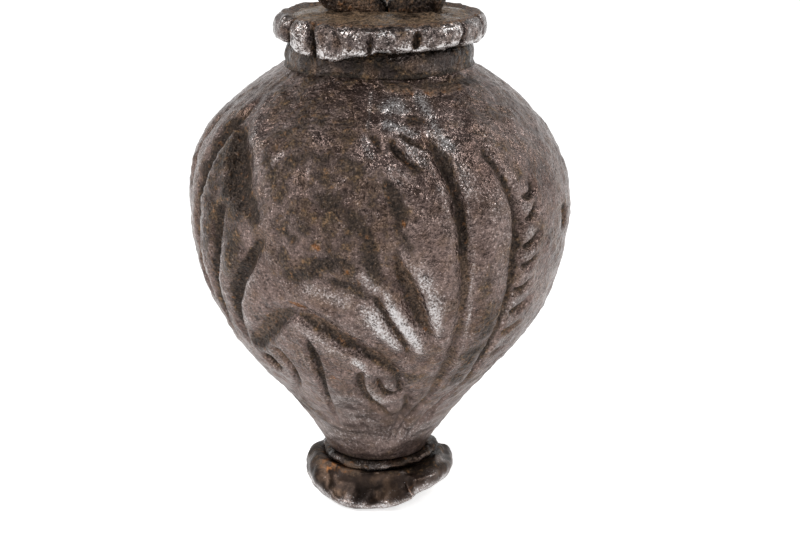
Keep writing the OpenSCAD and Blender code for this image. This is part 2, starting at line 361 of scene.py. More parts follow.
# %% The two long ribs at the right, and the nicks of the half leaf beside them
cut([(19, 90), (21.2, 87.5), (22.7, 85), (24, 80), (25, 75), (25.4, 70), (25.4, 65), (25.8, 60),
     (26.1, 55), (26.4, 50), (26.8, 45), (27.2, 40), (27.2, 35), (26.9, 30), (26.3, 25), (25.2, 19)],
    [1.0, 1.7, 2.1, 1.9, 1.9, 1.8, 1.6, 1.5, 1.4, 1.3, 1.3, 1.3, 1.3, 1.2, 1.0, 0.6],
    [0.3, 1.2, 1.6, 1.7, 1.7, 1.6, 1.4, 1.1, 0.9, 0.85, 0.8, 0.8, 0.8, 0.7, 0.5, 0], lean=0.6, lip=0.15)
cut([(36.2, 87), (37, 85), (40.5, 80), (43.2, 75), (44.2, 70), (44.1, 65), (44.1, 60), (44.1, 55),
     (44, 50), (43.9, 45), (43.9, 40), (43.9, 35), (43.4, 30), (42, 24)],
    [0.5, 0.7, 1.1, 1.5, 1.6, 1.6, 1.6, 1.5, 1.4, 1.4, 1.4, 1.3, 1.1, 0.6],
    [0, 0.6, 1.2, 1.6, 1.7, 1.7, 1.6, 1.5, 1.4, 1.3, 1.2, 1.0, 0.7, 0], lean=0.5, lip=0.25)
cut([(22.5, 87), (24.6, 86)], 0.7, [0.7, 0.5])
for nick in (
        [(51.7, 77.5), (51.9, 75), (49.5, 73.6), (46, 74)],
        [(52.4, 72), (51.2, 69.8), (48.7, 68.4), (45.5, 68.2)],
        [(52.8, 65), (50.7, 62.8), (47.5, 61.8), (45, 62.8)],
        [(52.4, 59), (50.7, 57.4), (48, 56.8), (45.5, 57.5)],
        [(51.5, 53), (50, 51.2), (47, 50.8), (45, 51)],
        [(55.3, 47.6), (52, 45.6), (49, 45), (46, 45.2)],
        [(54.2, 41.2), (50, 39.8), (47, 39.6), (45, 39.8)],
        [(56.5, 34.3), (51, 33.4), (48, 33), (45.5, 33.2)]):
    firm = ramp(nick[0][1], 25, 55)
    cut(nick, [0.4, 0.65, 0.65, 0.4], firm * np.array([0.8, 1.9, 1.7, 0.6]), lean=0.25, lip=0.05)
    paint(soiled_and_shaded, nick, 0.8, firm * np.array([0.5, 0.9, 0.9, 0.4]))
cut([(69.5, 67), (70.4, 65), (71, 63)], 1.2, [1.2, 2.2, 1.2])
paint(soiled_and_shaded, [(70, 67), (71, 63.5)], 1.2, 0.9)
ridge([(29, 88), (33, 78), (34.5, 66), (35, 52), (35, 38), (34, 24)], 4.2, [0, 0.35, 0.45, 0.4, 0.35, 0])
ridge([(40, 37), (40.2, 28), (39.5, 20)], 0.8, [0, 0.3, 0.1], rub=[0.1, 0.4, 0.2])
print("right ribs cut to", round(carved.max(), 2), "mm")

# %% The short fingers and the wedges in the middle
cut([(8, 90), (12.4, 88.6), (16.5, 87)], [0.5, 0.9, 0.6], [0.6, 1.5, 0.9], lean=-0.2, lip=0.5)
cut([(6.2, 88.6), (8, 86.4), (10.7, 84.7), (14.3, 82.4)], [1.1, 1.6, 1.2, 0.5], [0.9, 1.6, 1.4, 0.3])
cut([(-0.5, 89.5), (1.2, 88), (2.8, 86.5)], 0.9, [0.8, 1.0, 0.3])
cut([(4.8, 82.2), (7.5, 80.8), (11, 79.4)], [0.5, 0.8, 0.5], [0.3, 1.0, 0.3], lean=0.2, lip=0.4)
cut([(4, 80), (5.3, 76), (6.5, 72)], [1.6, 2.4, 1.6], [0.3, 0.7, 0.3])
cut([(2.3, 78), (2, 70), (2.4, 62)], 0.7, [0.1, 0.4, 0.2])
cut([(4.5, 66.5), (5.9, 62.5), (8.4, 58.2), (11, 53.5), (13.4, 48.8), (15.7, 45.5), (18, 42), (20, 39)],
    [0.8, 1.5, 2.2, 2.5, 2.1, 1.5, 1.0, 0.5], [0.2, 0.9, 1.4, 1.6, 1.5, 1.2, 0.8, 0], lean=0.45, lip=0.3)
cut([(-3, 55.5), (-0.2, 52.5), (2.2, 49.6), (4.3, 46.6), (6.8, 43.6), (9.4, 40.2), (12, 36.5)],
    [0.4, 0.7, 0.8, 0.8, 0.8, 0.7, 0.5], [0, 0.8, 1.1, 1.1, 1.1, 0.9, 0.3])
paint(soiled_and_shaded, [(-2, 54.5), (2.2, 49.6), (6.8, 43.6), (10.4, 38.8)], 0.8, [0.6, 0.8, 0.8, 0.6])
ridge([(1.8, 55.8), (4, 51.5), (6.5, 47.8), (9.6, 44.2), (12.6, 41), (15, 38.8)],
      [0.9, 1.3, 1.7, 1.8, 1.6, 0.9], [0.2, 0.6, 0.7, 0.7, 0.5, 0.2], rub=[0.4, 0.75, 0.8, 0.8, 0.7, 0.4])
ridge([(-4.2, 51.8), (-1.3, 49), (1.4, 45.8), (4.8, 42.4), (7.4, 39.8)], [2.0, 2.6, 2.4, 1.9, 1.1],
      [0.2, 0.5, 0.6, 0.6, 0.3], rub=[0.45, 0.75, 0.85, 0.8, 0.4])
ridge([(11.8, 60), (15, 53), (17.4, 47), (19.4, 42)], [3.2, 2.8, 1.6, 0.8], [0.1, 0.3, 0.3, 0.1],
      rub=[0.35, 0.45, 0.5, 0.35])
print("middle wedges cut")

# %% The long sweeping cut and the scroll below it
cut([(-48, 35.6), (-45, 36.7), (-40, 39.3), (-36, 41.5), (-32, 44.3), (-28, 46.8), (-24.5, 47.4), (-20, 45.6),
     (-16.3, 43.5), (-12, 41), (-7.5, 38.7), (-2.8, 36.9), (1.8, 34.8), (6, 32.4), (10, 29)],
    [1.5, 2.4, 3.0, 3.2, 3.0, 2.6, 2.3, 2.4, 2.6, 2.6, 2.4, 2.1, 1.7, 1.3, 0.7],
    [0.3, 0.9, 1.1, 1.1, 1.1, 1.0, 1.0, 1.1, 1.3, 1.35, 1.3, 1.25, 1.1, 0.8, 0.2], lean=-0.66, lip=0.06)
ridge([(-7.4, 36.2), (-6, 34.9), (-4.8, 33.6)], 1.1, 0.35, rub=[0.5, 0.85, 0.6])
cut([(-23.3, 43), (-22.7, 38.5), (-22, 34), (-22.5, 29), (-23.8, 24), (-25, 18), (-26, 12)],
    [0.4, 0.9, 1.1, 1.0, 0.8, 0.6, 0.4], [0, 1.2, 1.3, 1.1, 0.8, 0.4, 0], lean=0.2)
paint(soiled_and_shaded, [(-23, 41), (-22.3, 36), (-22.3, 30), (-24, 23)], 1.2, [0.6, 0.9, 0.8, 0.5])
cut([(-4, 33), (-5.8, 31.4), (-6.7, 28.6), (-5.8, 25.3), (-3.2, 22.7), (0.6, 20.2), (4.4, 18.2), (7.5, 16.5)],
    [0.6, 1.0, 1.25, 1.3, 1.25, 1.1, 0.9, 0.5], [0, 0.8, 1.1, 1.2, 1.2, 1.1, 0.9, 0.2], lean=0.25, lip=0.1)
cut([(0.2, 30), (0.7, 28.5), (2, 26.6), (5.3, 25), (9.5, 25), (11.5, 26.5)],
    [0.5, 0.8, 0.9, 0.95, 0.9, 0.5], [0.5, 1.3, 1.6, 1.7, 1.5, 0.5])
cut([(7.3, 30), (9, 28.5), (9.3, 27)], 0.9, [0.6, 1.3, 0.9])
paint(soiled_and_shaded, [(0.7, 28.5), (2, 26.6), (5.3, 25), (9.5, 25.5), (9, 28.5)], 0.9, [0.6, 0.9, 0.9, 1.0, 0.9])
cut([(11.5, 26), (14, 23), (15.5, 19), (14, 12), (13, 6)], 1.1, [0.3, 0.8, 0.8, 0.6, 0.1])
cut([(25, 22), (22, 17), (19, 11), (17, 6)], 1.0, [0.5, 0.8, 0.7, 0.1])
cut([(42, 25), (37, 19), (32, 13), (28, 8)], 1.0, [0.4, 0.8, 0.7, 0.1])
cut([(35.5, 16.5), (38, 13)], 0.9, [0.5, 0.5])
cut([(-12, 17), (-9, 12), (-6, 7)], 0.9, [0, 0.3, 0])
cut([(0, 14), (1.5, 10), (2, 6)], 0.8, [0, 0.3, 0])
ridge([(-3.5, 33), (-5, 29), (-3, 25.5), (1.8, 22.9), (7.5, 22.5)], 0.9, [0.3, 0.4, 0.4, 0.3, 0.2], rub=0.2)
ridge([(4, 30.5), (5, 28)], 1.2, 0.35)
print("scroll cut")

# %% The petals at the left
cut([(-76, 92), (-77.5, 86), (-78.5, 78), (-79.5, 70)], 1.5, [0, 1.0, 1.2, 0], lean=0.3)
cut([(-58.3, 94), (-58.8, 91.5), (-60.3, 86.5), (-62.5, 82), (-64.5, 77), (-67, 71.5), (-68.8, 66),
     (-69.5, 60), (-69, 54), (-67.5, 48), (-66, 43)],
    [0.5, 0.9, 1.7, 2.3, 2.4, 2.2, 1.9, 1.7, 1.5, 1.2, 0.6],
    [0, 1.0, 1.6, 1.9, 2.0, 2.0, 1.9, 1.7, 1.4, 1.0, 0], lean=0.5, lip=0.05)
cut([(-56.5, 89.3), (-52.5, 86.3), (-49.6, 82.8), (-47.2, 79), (-43.2, 75.2), (-38, 71.5), (-33.5, 68)],
    [0.8, 2.3, 3.6, 4.1, 3.7, 2.4, 0.8], [0.2, 1.2, 1.8, 1.8, 1.4, 0.8, 0.1], lean=-0.35)
cut([(-49.3, 71.3), (-51.4, 70), (-52.7, 67.3), (-53.6, 64), (-54.5, 60), (-56.8, 55), (-59, 50), (-60.4, 45),
     (-61.6, 40), (-62.5, 35)], [0.8, 1.5, 1.8, 1.8, 1.8, 1.7, 1.6, 1.4, 1.1, 0.6],
    [0.3, 1.0, 1.5, 1.7, 1.7, 1.6, 1.5, 1.2, 0.8, 0], lean=0.55, lip=0.05)
cut([(-33, 69), (-34.6, 65), (-38.6, 60), (-42.8, 55), (-47, 50), (-50.2, 45), (-52.2, 40), (-54, 35)],
    [0.6, 1.5, 1.8, 1.8, 1.7, 1.5, 1.3, 0.6], [0.1, 0.7, 1.2, 1.5, 1.6, 1.5, 1.1, 0], lean=0.55, lip=0.1)
cut([(-47, 31.5), (-45, 30.3)], 1.9, 2.4)
paint(soiled_and_shaded, [(-47, 31.5), (-45, 30.3)], 2.0, 1.0)
cut([(-40, 37), (-38, 35.8), (-36, 33.5), (-35, 30.3), (-36, 27.5), (-39, 24.8), (-44, 22.5), (-50, 20.5)],
    [0.4, 0.7, 0.8, 0.8, 0.8, 0.8, 0.7, 0.4], [0, 0.9, 1.2, 1.2, 1.1, 0.9, 0.6, 0])
ridge([(-57, 86), (-58, 80), (-60, 73), (-61.5, 66), (-63, 58)], 3.0, [0.1, 0.4, 0.5, 0.5, 0.2])
ridge([(-46.5, 67.5), (-47.8, 63), (-50, 58), (-54, 51)], 2.6, [0.1, 0.4, 0.5, 0.2])
ridge([(-34, 61), (-39, 55), (-44, 49), (-47, 43)], 2.4, [0.1, 0.4, 0.4, 0.1])
ridge([(-53, 92.5), (-45, 88.5), (-38.5, 85), (-35, 81), (-31.5, 77)], [2.2, 2.4, 2.4, 2.2, 1.5],
      [0.15, 0.35, 0.35, 0.3, 0.1], rub=0.12)
for vein in ([(-58.5, 84), (-55, 87)], [(-58, 80.5), (-52.5, 83.5)], [(-59, 76), (-53, 79.5)],
             [(-60, 71), (-54, 74)]):
    cut(vein, 0.6, [0.4, 0.25])
print("petals cut, deepest", round(carved.max(), 2), "mm, highest", round(raised.max(), 2), "mm")

# %% [markdown]
# ## Wear, dirt and painted light on the urn
# Hands and other tools have rubbed the high edges bright, brown soil has stayed in the cuts, and here
# and there it is warm with rust. Each is kept as one number per vertex. Most of it follows the carving:
# a place that stands above the average round it is rubbed, and one that lies below holds soil. The
# patches below, which the carving alone doesn't explain, are listed: a stroke, half its width and a
# strength.

# %% Rubbed patches and painted sheen
rub_and_sheen_patches = (
    ([(4.5, 94.4), (8, 95.2), (10.8, 93.8)], 2.6, 1.0),
    ([(4.5, 91.6), (9.5, 90.8), (14, 89.6)], 1.7, [1.0, 0.8, 0.6]),
    ([(20.5, 96.5), (20.8, 93), (22, 90), (24.3, 87)], 1.9, 0.85), ([(-3.3, 89), (-1, 85.8)], 1.3, 0.7),
    ([(-3, 97), (-2.5, 91)], 0.7, 0.55), ([(-6, 82.5), (-12, 79)], 0.6, 0.2),
    ([(-20.5, 84), (-20.2, 81.5)], 0.7, 0.3), ([(11, 86.5), (15, 84)], 1.1, 0.6),
    ([(4, 83.4), (5.2, 81.4), (7.6, 80.2)], 0.7, 0.5),
    ([(-19.5, 55.4), (-15, 54.3), (-9, 52.8)], 2.2, 0.45), ([(18.6, 91), (19.6, 89.6)], 1.0, 1.0),
    ([(24.8, 84), (26.5, 76), (27, 66), (27.6, 56), (28.2, 48), (29, 40), (29.4, 36)],
     0.6, [0.2, 0.35, 0.25, 0.45, 0.6, 0.35, 0.1]),
    ([(-50.4, 68.5), (-51.6, 64), (-52.3, 60), (-54.4, 55), (-56.7, 50)], 0.7, 0.4),
    ([(-59, 84), (-60.8, 79), (-63.8, 73), (-65.8, 68)], 0.7, 0.35),
    ([(-41, 54.5), (-45.2, 49.5), (-48.6, 44.5)], 0.7, 0.35), ([(-33.5, 82.5), (-30.5, 85)], 0.9, 0.5),
    # The first patch on this line lightens the lower body as a painted sheen
    ([(-16, 23), (-11, 21)], 2.5, 0.4), ([(-23.5, 43.6), (-20.5, 42), (-17, 39.5)], 2.4, 0.25),
    ([(27, 86), (30, 80), (33, 72), (34.5, 60), (34.5, 48)], 3.4, [0, 0.06, 0.14, 0.1, 0.05]),
    # The second patch on this line lightens the tail, where the foot shades it: painted light
    ([(48, 66), (50, 56), (50, 44)], 3.0, 0.08), ([(10, 8), (-10, 7)], 3.0, 0.3),
    # This wide patch lightens the right shoulder as a painted sheen
    ([(28, 93), (45, 90), (60, 84)], 7.0, 0.1),
    ([(-57, 95), (-48, 89.5), (-41, 84.5), (-37, 79), (-34, 74)], 3.2, 0.18),
    # The first patch on this line lightens the tail, where the foot shades it: painted light
    ([(-40, 9), (0, 9), (40, 9)], 5.0, 0.4), ([(-20, 21), (-14, 15)], 3.0, 0.4),
    ([(-3.5, 59), (-0.5, 56)], 1.8, 0.55), ([(-10, 18), (-2, 14)], 3.0, 0.4))
for place, half, strength in rub_and_sheen_patches:
    paint(rub_and_sheen, place, half, strength)
print(len(rub_and_sheen_patches), "patches rubbed")

# %% Soiled patches and painted shade
soil_and_shade_patches = (
    # The two wide patches on this line darken the upper shoulder, where it faces up and away from the light:
    # painted shade
    ([(-45, 96), (-25, 92), (-8, 90)], 7.0, 0.58), ([(-30, 86), (-18, 84), (-8, 80)], 8.0, 0.62),
    ([(-3, 69), (-1.6, 64.5), (-1.2, 61)], 2.8, 1.0), ([(-24, 59), (-15, 62), (-8, 61)], 3.2, 0.8),
    ([(-19, 81.5), (-14, 81)], 2.2, 0.65), ([(5.8, 71), (7.2, 66)], 2.0, 0.9),
    ([(-30, 70), (-24, 66)], 3.2, 0.6), ([(-14, 77), (-9, 74), (-6, 71)], 3.2, 0.65),
    ([(-8, 84), (-3, 81), (0, 77)], 3.0, 0.6), ([(-30, 76), (-16, 73), (-6, 65), (-3, 58)], 9.0, 0.55),
    ([(-30, 66), (-20, 62), (-8, 60)], 7.0, 0.5),
    # This patch and the next two darken the valleys and right halves of the left petals: painted shade, with
    # some soil
    ([(-53.5, 87), (-51.8, 83), (-50.6, 79), (-49, 74)], 3.3, 1.0),
    ([(-55.5, 86), (-56, 80), (-58, 72), (-60, 64), (-61.5, 56)], 4.6, [0.3, 0.85, 0.75, 0.6, 0.5]),
    ([(-44.5, 71), (-46, 64), (-49.5, 56), (-54, 48)], 4.0, [0.95, 0.75, 0.55, 0.3]),
    ([(-26, 79), (-21, 74)], 3.4, 0.65),
    # This patch darkens the groove at the far left: painted shade and soil
    ([(-62.3, 88), (-64.5, 83), (-66.5, 78), (-69, 72), (-70.5, 66), (-71, 60)],
     [2.4, 2.6, 2.6, 2.2, 1.8, 1.6], [0.9, 0.9, 0.9, 0.7, 0.5, 0.4]),
    ([(-53, 71), (-55.5, 66), (-57, 62), (-58.5, 57), (-60.5, 52), (-62, 42)], 1.7, 0.65),
    ([(-36, 66), (-41, 60), (-46, 55), (-50, 50), (-53, 42)], 1.5, [0.4, 0.5, 0.8, 0.8, 0.6]),
    ([(4, 79.5), (5.5, 76), (6.8, 72.5)], 2.2, 0.95),
    ([(-24.5, 47.2), (-20, 45.4), (-16, 43.2), (-12, 41), (-7.5, 39), (-2.8, 36.6), (2, 34.4)],
     0.7, [0.3, 0.5, 0.7, 0.8, 0.8, 0.7, 0.5]),
    ([(-49.5, 35.4), (-45, 37.6), (-40, 41), (-34, 45.3), (-28, 48)], [2.2, 3.0, 3.2, 2.6, 1.6],
     [0.9, 0.95, 0.9, 0.6, 0.4]),
    ([(33, 58), (36, 44), (36, 30), (33, 22)], 6.5, [0.45, 0.68, 0.72, 0.5]),
    ([(46, 27), (56, 26), (70, 27)], 5.0, 0.6), ([(-72, 17), (-60, 16), (-46, 15)], 6.0, 0.7),
    ([(-46, 80), (-43, 75), (-38, 70.5)], 4.0, 0.5), ([(-8, 58), (-5, 54.5)], 1.8, 0.6),
    ([(-26, 59), (-16, 58.6), (-9, 57.4)], 1.4, 0.8), ([(-4, 83), (0, 80)], 2.0, 0.7),
    ([(-19, 79), (-16.5, 77)], 2.0, 0.9), ([(46, 92), (53, 88)], 5.0, 0.4),
    ([(44, 82.5), (47, 79)], 2.0, 0.6), ([(8, 60), (11, 54), (14, 48)], 1.8, 0.5),
    ([(20.5, 88), (22, 82), (23.2, 75), (24, 68), (24.6, 60), (25.4, 50), (26, 40), (26, 28)],
     2.2, [0.3, 0.2, 0.15, 0.1, 0.05, 0.05, 0.05, 0.05]),
    ([(6.5, 88), (9.5, 85.5), (13, 83)], 1.6, 0.7), ([(9.5, 89.6), (12.8, 88.4), (15.8, 87.2)], 0.8, 0.9),
    ([(-5.8, 31), (-5.8, 26), (-2.5, 22.3), (2.5, 19.5), (6.5, 17)], 1.1, 0.65),
    ([(9, 31), (15, 30.5), (22, 29)], 3.0, 0.5), ([(14, 92.4), (17.3, 91.8)], 2.2, 1.0),
    ([(10, 98), (30, 97.5), (60, 97.5)], 2.4, 0.9), ([(-40, 98.5), (-20, 99), (5, 99)], 2.0, 0.6),
    ([(36.5, 84), (38, 82)], 1.3, 0.8), ([(45, 85), (44, 82)], 1.6, 0.5),
    ([(-98, 0.5), (0, 0.5), (82, 0.5)], 0.8, 0.6))
for place, half, strength in soil_and_shade_patches:
    paint(soiled_and_shaded, place, half, strength)
print(len(soil_and_shade_patches), "patches soiled")

# %% Rusty and warm patches
rust_patches = (
    ([(7.2, 71.7), (7.5, 71.2)], 0.7, 0.8), ([(-8.7, 60.4), (-8.3, 60)], 0.6, 0.8),
    ([(15, 44.5), (15.5, 44)], 0.5, 0.8), ([(-17.5, 66), (-16.5, 65.5)], 0.8, 0.8),
    ([(-27, 51), (-22, 50)], 0.9, 0.8), ([(12, 28), (19, 27), (27, 26.5)], 2.0, 0.36),
    ([(8, 97.3), (25, 96.8), (45, 97)], 1.8, 0.36), ([(-20, 31), (-16, 30)], 2.0, 0.36),
    ([(-24, 50), (-12, 45), (-2, 40)], 1.6, 0.36),
    ([(5, 64), (8.5, 58), (12, 52), (15.5, 46), (19, 41)], 2.2, 0.22),
    ([(1, 52), (6, 45.5), (11, 39)], 1.0, 0.22),
    ([(25.5, 62), (26.5, 52), (27, 42), (27, 30)], 2.2, 0.22),
    ([(43, 60), (42.5, 50), (42.5, 38)], 1.8, 0.22),
    ([(-46, 39), (-36, 45), (-26, 50), (-14, 45.5), (-4, 40.5), (4, 36)], 3.0, 0.22),
    ([(-5.8, 31), (-5.8, 26), (-2.5, 22.3), (2.5, 19.5), (6.5, 17)], 1.4, 0.22),
    ([(0.7, 28.5), (2, 26.6), (5.3, 25), (9.5, 25.5)], 1.1, 0.22))
for place, half, strength in rust_patches:
    paint(spotted, place, half, strength)
print(len(rust_patches), "patches of rust and warm earth")

# %% A dent and a score in the bright patch
DENT_DEPTH = 0.25
dent, scored = np.zeros((2, *carved.shape))
paint(dent, [(13.8, 92.4), (17.3, 91.8)], 2.3, 1.0)
paint(scored, [(9.5, 89.6), (12.8, 88.4), (15.8, 87.2)], 0.8, 1.0)
rub_and_sheen *= 1 - np.maximum(dent, 0.8 * scored)
raised -= DENT_DEPTH * dent
print("dent is", round(DENT_DEPTH * dent.max(), 2), "mm deep")

# %% Put both halves together and shape the outside


def all_round(half):
    """Both halves of the urn from one: the same array twice, side by side."""
    return np.hstack([half] * 2)


relief = soften(all_round(raised - carved), 1)
deep, rub_and_sheen, soiled_and_shaded, spotted, swept = [all_round(f) for f in (carved, rub_and_sheen, soiled_and_shaded, spotted, swept)]
smooth_side = round_axis(angles[None, :], side_r[:, None], side_z[:, None])
relief += rough(smooth_side, (0.15, 26, 1), (0.08, 9, 2))
# The roughness is weaker near the tail and stronger in soil
lively = (0.3 + 0.7 * ramp(arc, 8, 40))[:, None]
relief += lively * (0.05 + 0.06 * soiled_and_shaded) * waves(smooth_side, 3.6, 3)
relief += lively * (0.04 + 0.05 * soiled_and_shaded) * waves(smooth_side, 1.9, 4, 40)
relief += lively * rough(smooth_side, (0.02, 1.2, 6, 40))
# Ripples of the casting lie level, so the waves are long sideways and short in height
LEVEL = [0.4, 0.4, 1.3]
ripple = rough(smooth_side * LEVEL, (0.045, 2.2, 7, 40))
relief += ripple * ramp(-arc, -50, -25)[:, None]
# The relief dies away where the tail ring and the neck ring sit
fade = ramp(arc, 0, 1.5) * ramp(arc[-1] - arc, 0, 1.2)
relief *= fade[:, None]
outside = round_axis(angles[None, :], side_r[:, None] + relief * slope[:, :1],
                     side_z[:, None] + relief * slope[:, 1:])
print("relief from", round(relief.min(), 2), "to", round(relief.max(), 2), "mm")

# %% Wear, soil and calm of the outside
stands_out = soften(relief, 2) - soften(relief, 40)
ragged = rough(smooth_side, (0.25, 7, 5))
high = ramp(stands_out, 0.06, 0.6) * (1 - 0.8 * np.clip(soiled_and_shaded, 0, 1))
# Wear on the urn also carries the painted sheen of the rub patches above
wear = np.clip(0.1 + 0.3 * high + 0.72 * rub_and_sheen + 0.16 * ragged, 0, 1)
# Soil on the urn also carries the painted shade of the soiled patches above
soil = 0.45 * ramp(deep, 0.3, 1.8) + soiled_and_shaded + 0.4 * ramp(-stands_out, 0.05, 0.5) + 0.3 * ragged
soil = np.clip((soil - 0.6 * rub_and_sheen) * (1 - 0.85 * swept), 0, 1)
calm = ramp(-arc, -34, -10)[:, None] + np.zeros(COLUMNS)
print("share with much soil", round((soil > 0.5).mean(), 2), "and much wear", round((wear > 0.5).mean(), 2))

# %% [markdown]
# ## Urn
# The outside is one part of a closed skin: the same columns go on over the shoulder, up the spigot
# that carries the collar, down the mouth and round the hollow that holds the lead. Below, they form the
# tenon that the foot is driven on. Lead and rings hide most of this, but the mesh is a true solid.

# %% Close the urn inside and below
FLOOR_RISE, ROOF_DROP, HOLLOW_STEP = 9.5, 2.5, 12


def inside(depth):
    """Half outline of the hollow: the side curve set back square to itself, from the floor up."""
    keep = (side_z > TAIL_Z + FLOOR_RISE) & (side_z < SHOULDER_Z - ROOF_DROP)
    back = np.column_stack([side_r, side_z])[keep] - depth * slope[keep]
    return back[::HOLLOW_STEP]


hollow = inside(WALL)
ROOF_Z = SHOULDER_Z - 0.8 * WALL
hollow = hollow[(hollow[:, 0] > MOUTH_R) & (hollow[:, 1] < ROOF_Z)]
TENON_END = urn_low[2]
below = np.array([
    (TENON_R - 0.4, TENON_END), (TENON_R, TENON_END + 0.4), (TENON_R, TAIL_Z - 0.3), (TENON_R + 0.3, TAIL_Z),
    (TAIL_R - 0.3, TAIL_Z)])
over = np.array([
    (SHOULDER_R - 0.4, SHOULDER_Z), (SPIGOT_R + 0.3, SHOULDER_Z), (SPIGOT_R, SHOULDER_Z + 0.3),
    (SPIGOT_R, MOUTH_Z - 0.5), (SPIGOT_R - 0.5, MOUTH_Z), (MOUTH_R + 0.8, MOUTH_Z + 0.1),
    (MOUTH_R, MOUTH_Z - 0.7), (MOUTH_R, ROOF_Z + 0.3), (MOUTH_R + 0.3, ROOF_Z)])
within = np.vstack([over, hollow[::-1], [(hollow[0, 0] - 1, hollow[0, 1] - 0.2)]])


def turned(profile):
    """Surface of revolution: each profile point at every angle of the urn's columns."""
    return round_axis(angles[None, :], profile[:, :1], profile[:, 1:])


def on_urn(mark, hidden=0.0):
    """A mark on the outside, with one value on the hidden rows below and within."""
    return np.pad(mark, ((len(below), len(within)), (0, 0)), constant_values=hidden)


urn_grid = lopsided(np.vstack([turned(below), outside, turned(within)]))
urn = skin("urn", urn_grid, wear=on_urn(wear), soil=on_urn(soil, 0.8), spot=on_urn(spotted),
           calm=on_urn(calm))

# %% [markdown]
# ## Rings round the axis
# The neck ring, the collar and the tail ring are bands that sit round the urn's ends. Each is a closed
# outline carried round the axis, so its grid wraps both ways. A smooth closed curve through a few
# marked points gives the outline, and the dents and notches depend on the angle.

# %% Closed outlines


def closed_outline(points, count):
    """Smooth closed curve through all points, with count points spaced evenly along it."""
    p = np.array(points, float)
    curve = through(np.vstack([p[-2:], p, p[:2]]))
    step = (len(curve) - 1) // (len(p) + 3)
    curve = curve[2 * step:-step]
    length = np.append(0, np.cumsum(np.linalg.norm(np.diff(curve, axis=0), axis=1)))
    even = np.linspace(0, length[-1], count, endpoint=False)
    return np.column_stack([np.interp(even, length, curve[:, k]) for k in range(2)])


def carried_round(outline, columns):
    """An outline of radius and height at every angle: radii, heights and angles as full grids."""
    angle = np.linspace(0, 360, columns, endpoint=False)[None, :]
    return outline[:, :1] + 0 * angle, outline[:, 1:] + 0 * angle, angle + 0 * outline[:, :1]


def turn_from(angle, middle):
    """Angle from a middle one, between -180 and 180 degrees."""
    return (angle - middle + 180) % 360 - 180


def facing(angle, middle, width, power=2):
    """Bell curve round the axis: 1 at a middle angle, and small past a width in degrees."""
    return bell(turn_from(angle, middle), width, power)


# %% Neck ring
NECK_LOW, NECK_TOP = neck_low[2], neck_high[2]
neck_outline = closed_outline(
    [(BORE_R, NECK_LOW + 0.1), (15.6, NECK_LOW + 0.02), (17.0, NECK_LOW - 0.05), (18.1, NECK_LOW - 0.6),
     (18.3, NECK_LOW - 0.3), (17.95, NECK_LOW + 0.5), (18.05, NECK_LOW + 1.5), (17.95, NECK_LOW + 2.6),
     (17.3, NECK_TOP - 0.7), (16.2, NECK_TOP - 0.05), (BORE_R, NECK_TOP - 0.1), (BORE_R, NECK_LOW + 2.3)], 60)
radius, height, angle = carried_round(neck_outline, 300)
place = round_axis(angle, radius, height)
outer = ramp(radius, 14.5, 16.5)
skirt = ramp(-height, -NECK_LOW - 0.8, -NECK_LOW + 0.5)
frayed = skirt * rough(place, (0.1, 5, 17))
radius = radius + outer * (rough(place, (0.14, 17, 11), (0.06, 4, 12), (0.03, 1.8, 13)) + frayed)
height = height + outer * (rough(place, (0.08, 14, 14)) - frayed)
neck_wear = np.clip(0.1 + rough(place, (0.12, 6, 15)), 0, 1) * outer * (1 - skirt)
neck_soil = np.clip(0.35 + 0.5 * skirt + rough(place, (0.2, 5, 16)), 0, 1)
neck_grid = lopsided(round_axis(angle, radius, height))
neck = skin("neck_band", neck_grid, "ring", wear=neck_wear, soil=neck_soil)

# %% [markdown]
# ## Notched collar
# The collar is a thick band round the neck, with notches filed across its edge by hand. They lie about
# 24 degrees apart but no two are alike, so each has its own place, width, depth and tilt. At the left
# front the band stands out in two lobes with a deep notch between them, and its lower edge hangs down.
# Wedges could cut the notches from a plain ring, but as sums on the grid they fade into the worn edge.

# %% Outline and notches of the collar
COLLAR_R, COLLAR_TOP, COLLAR_LOW = 20.1, collar_high[2], collar_low[2]
collar_outline = closed_outline(
    [(BORE_R, COLLAR_LOW + 0.1), (16.5, COLLAR_LOW + 0.02), (18.9, COLLAR_LOW + 0.02),
     (19.8, COLLAR_LOW + 0.35), (COLLAR_R, COLLAR_LOW + 1.2), (COLLAR_R, COLLAR_TOP - 2.1),
     (19.75, COLLAR_TOP - 1.0), (19.0, COLLAR_TOP - 0.3), (18.0, COLLAR_TOP - 0.1),
     (16.9, COLLAR_TOP - 0.55), (15.4, COLLAR_TOP - 1.0), (BORE_R, COLLAR_TOP - 0.85),
     (BORE_R, COLLAR_LOW + 2.2)], 80)
radius, height, angle = carried_round(collar_outline, 560)
place = round_axis(angle, radius, height)
edge = ramp(radius, 17.6, 19.2)
middle = (height - COLLAR_LOW) / (COLLAR_TOP - COLLAR_LOW) - 0.5
# Each notch: angle and width in degrees, depth in millimetres, tilt in degrees, and its middle and half
# height as shares of the collar's height
notches = (
    (-58, 1.6, 1.2, 4, 0, 0.6), (-39.5, 1.8, 2.0, -3, -0.1, 0.6), (-22.9, 1.1, 0.6, -5, 0.1, 0.5),
    (-5.2, 1.5, 1.0, 1, -0.15, 0.4), (20, 2.3, 1.5, 2, -0.05, 0.35), (49, 1.1, 0.8, 3, 0, 0.6),
    (73, 1.8, 1.1, -2, 0, 0.6), (98, 1.5, 0.9, 4, 0, 0.6), (121, 2.0, 1.3, 0, 0, 0.6),
    (147, 1.5, 1.0, -4, 0, 0.6), (170, 1.8, 1.2, 2, 0, 0.6), (195, 1.4, 0.9, 3, 0, 0.6),
    (221, 2.0, 1.3, -2, 0, 0.6), (246, 1.7, 1.0, 1, 0, 0.6), (271, 2.0, 1.1, -3, 0, 0.6))
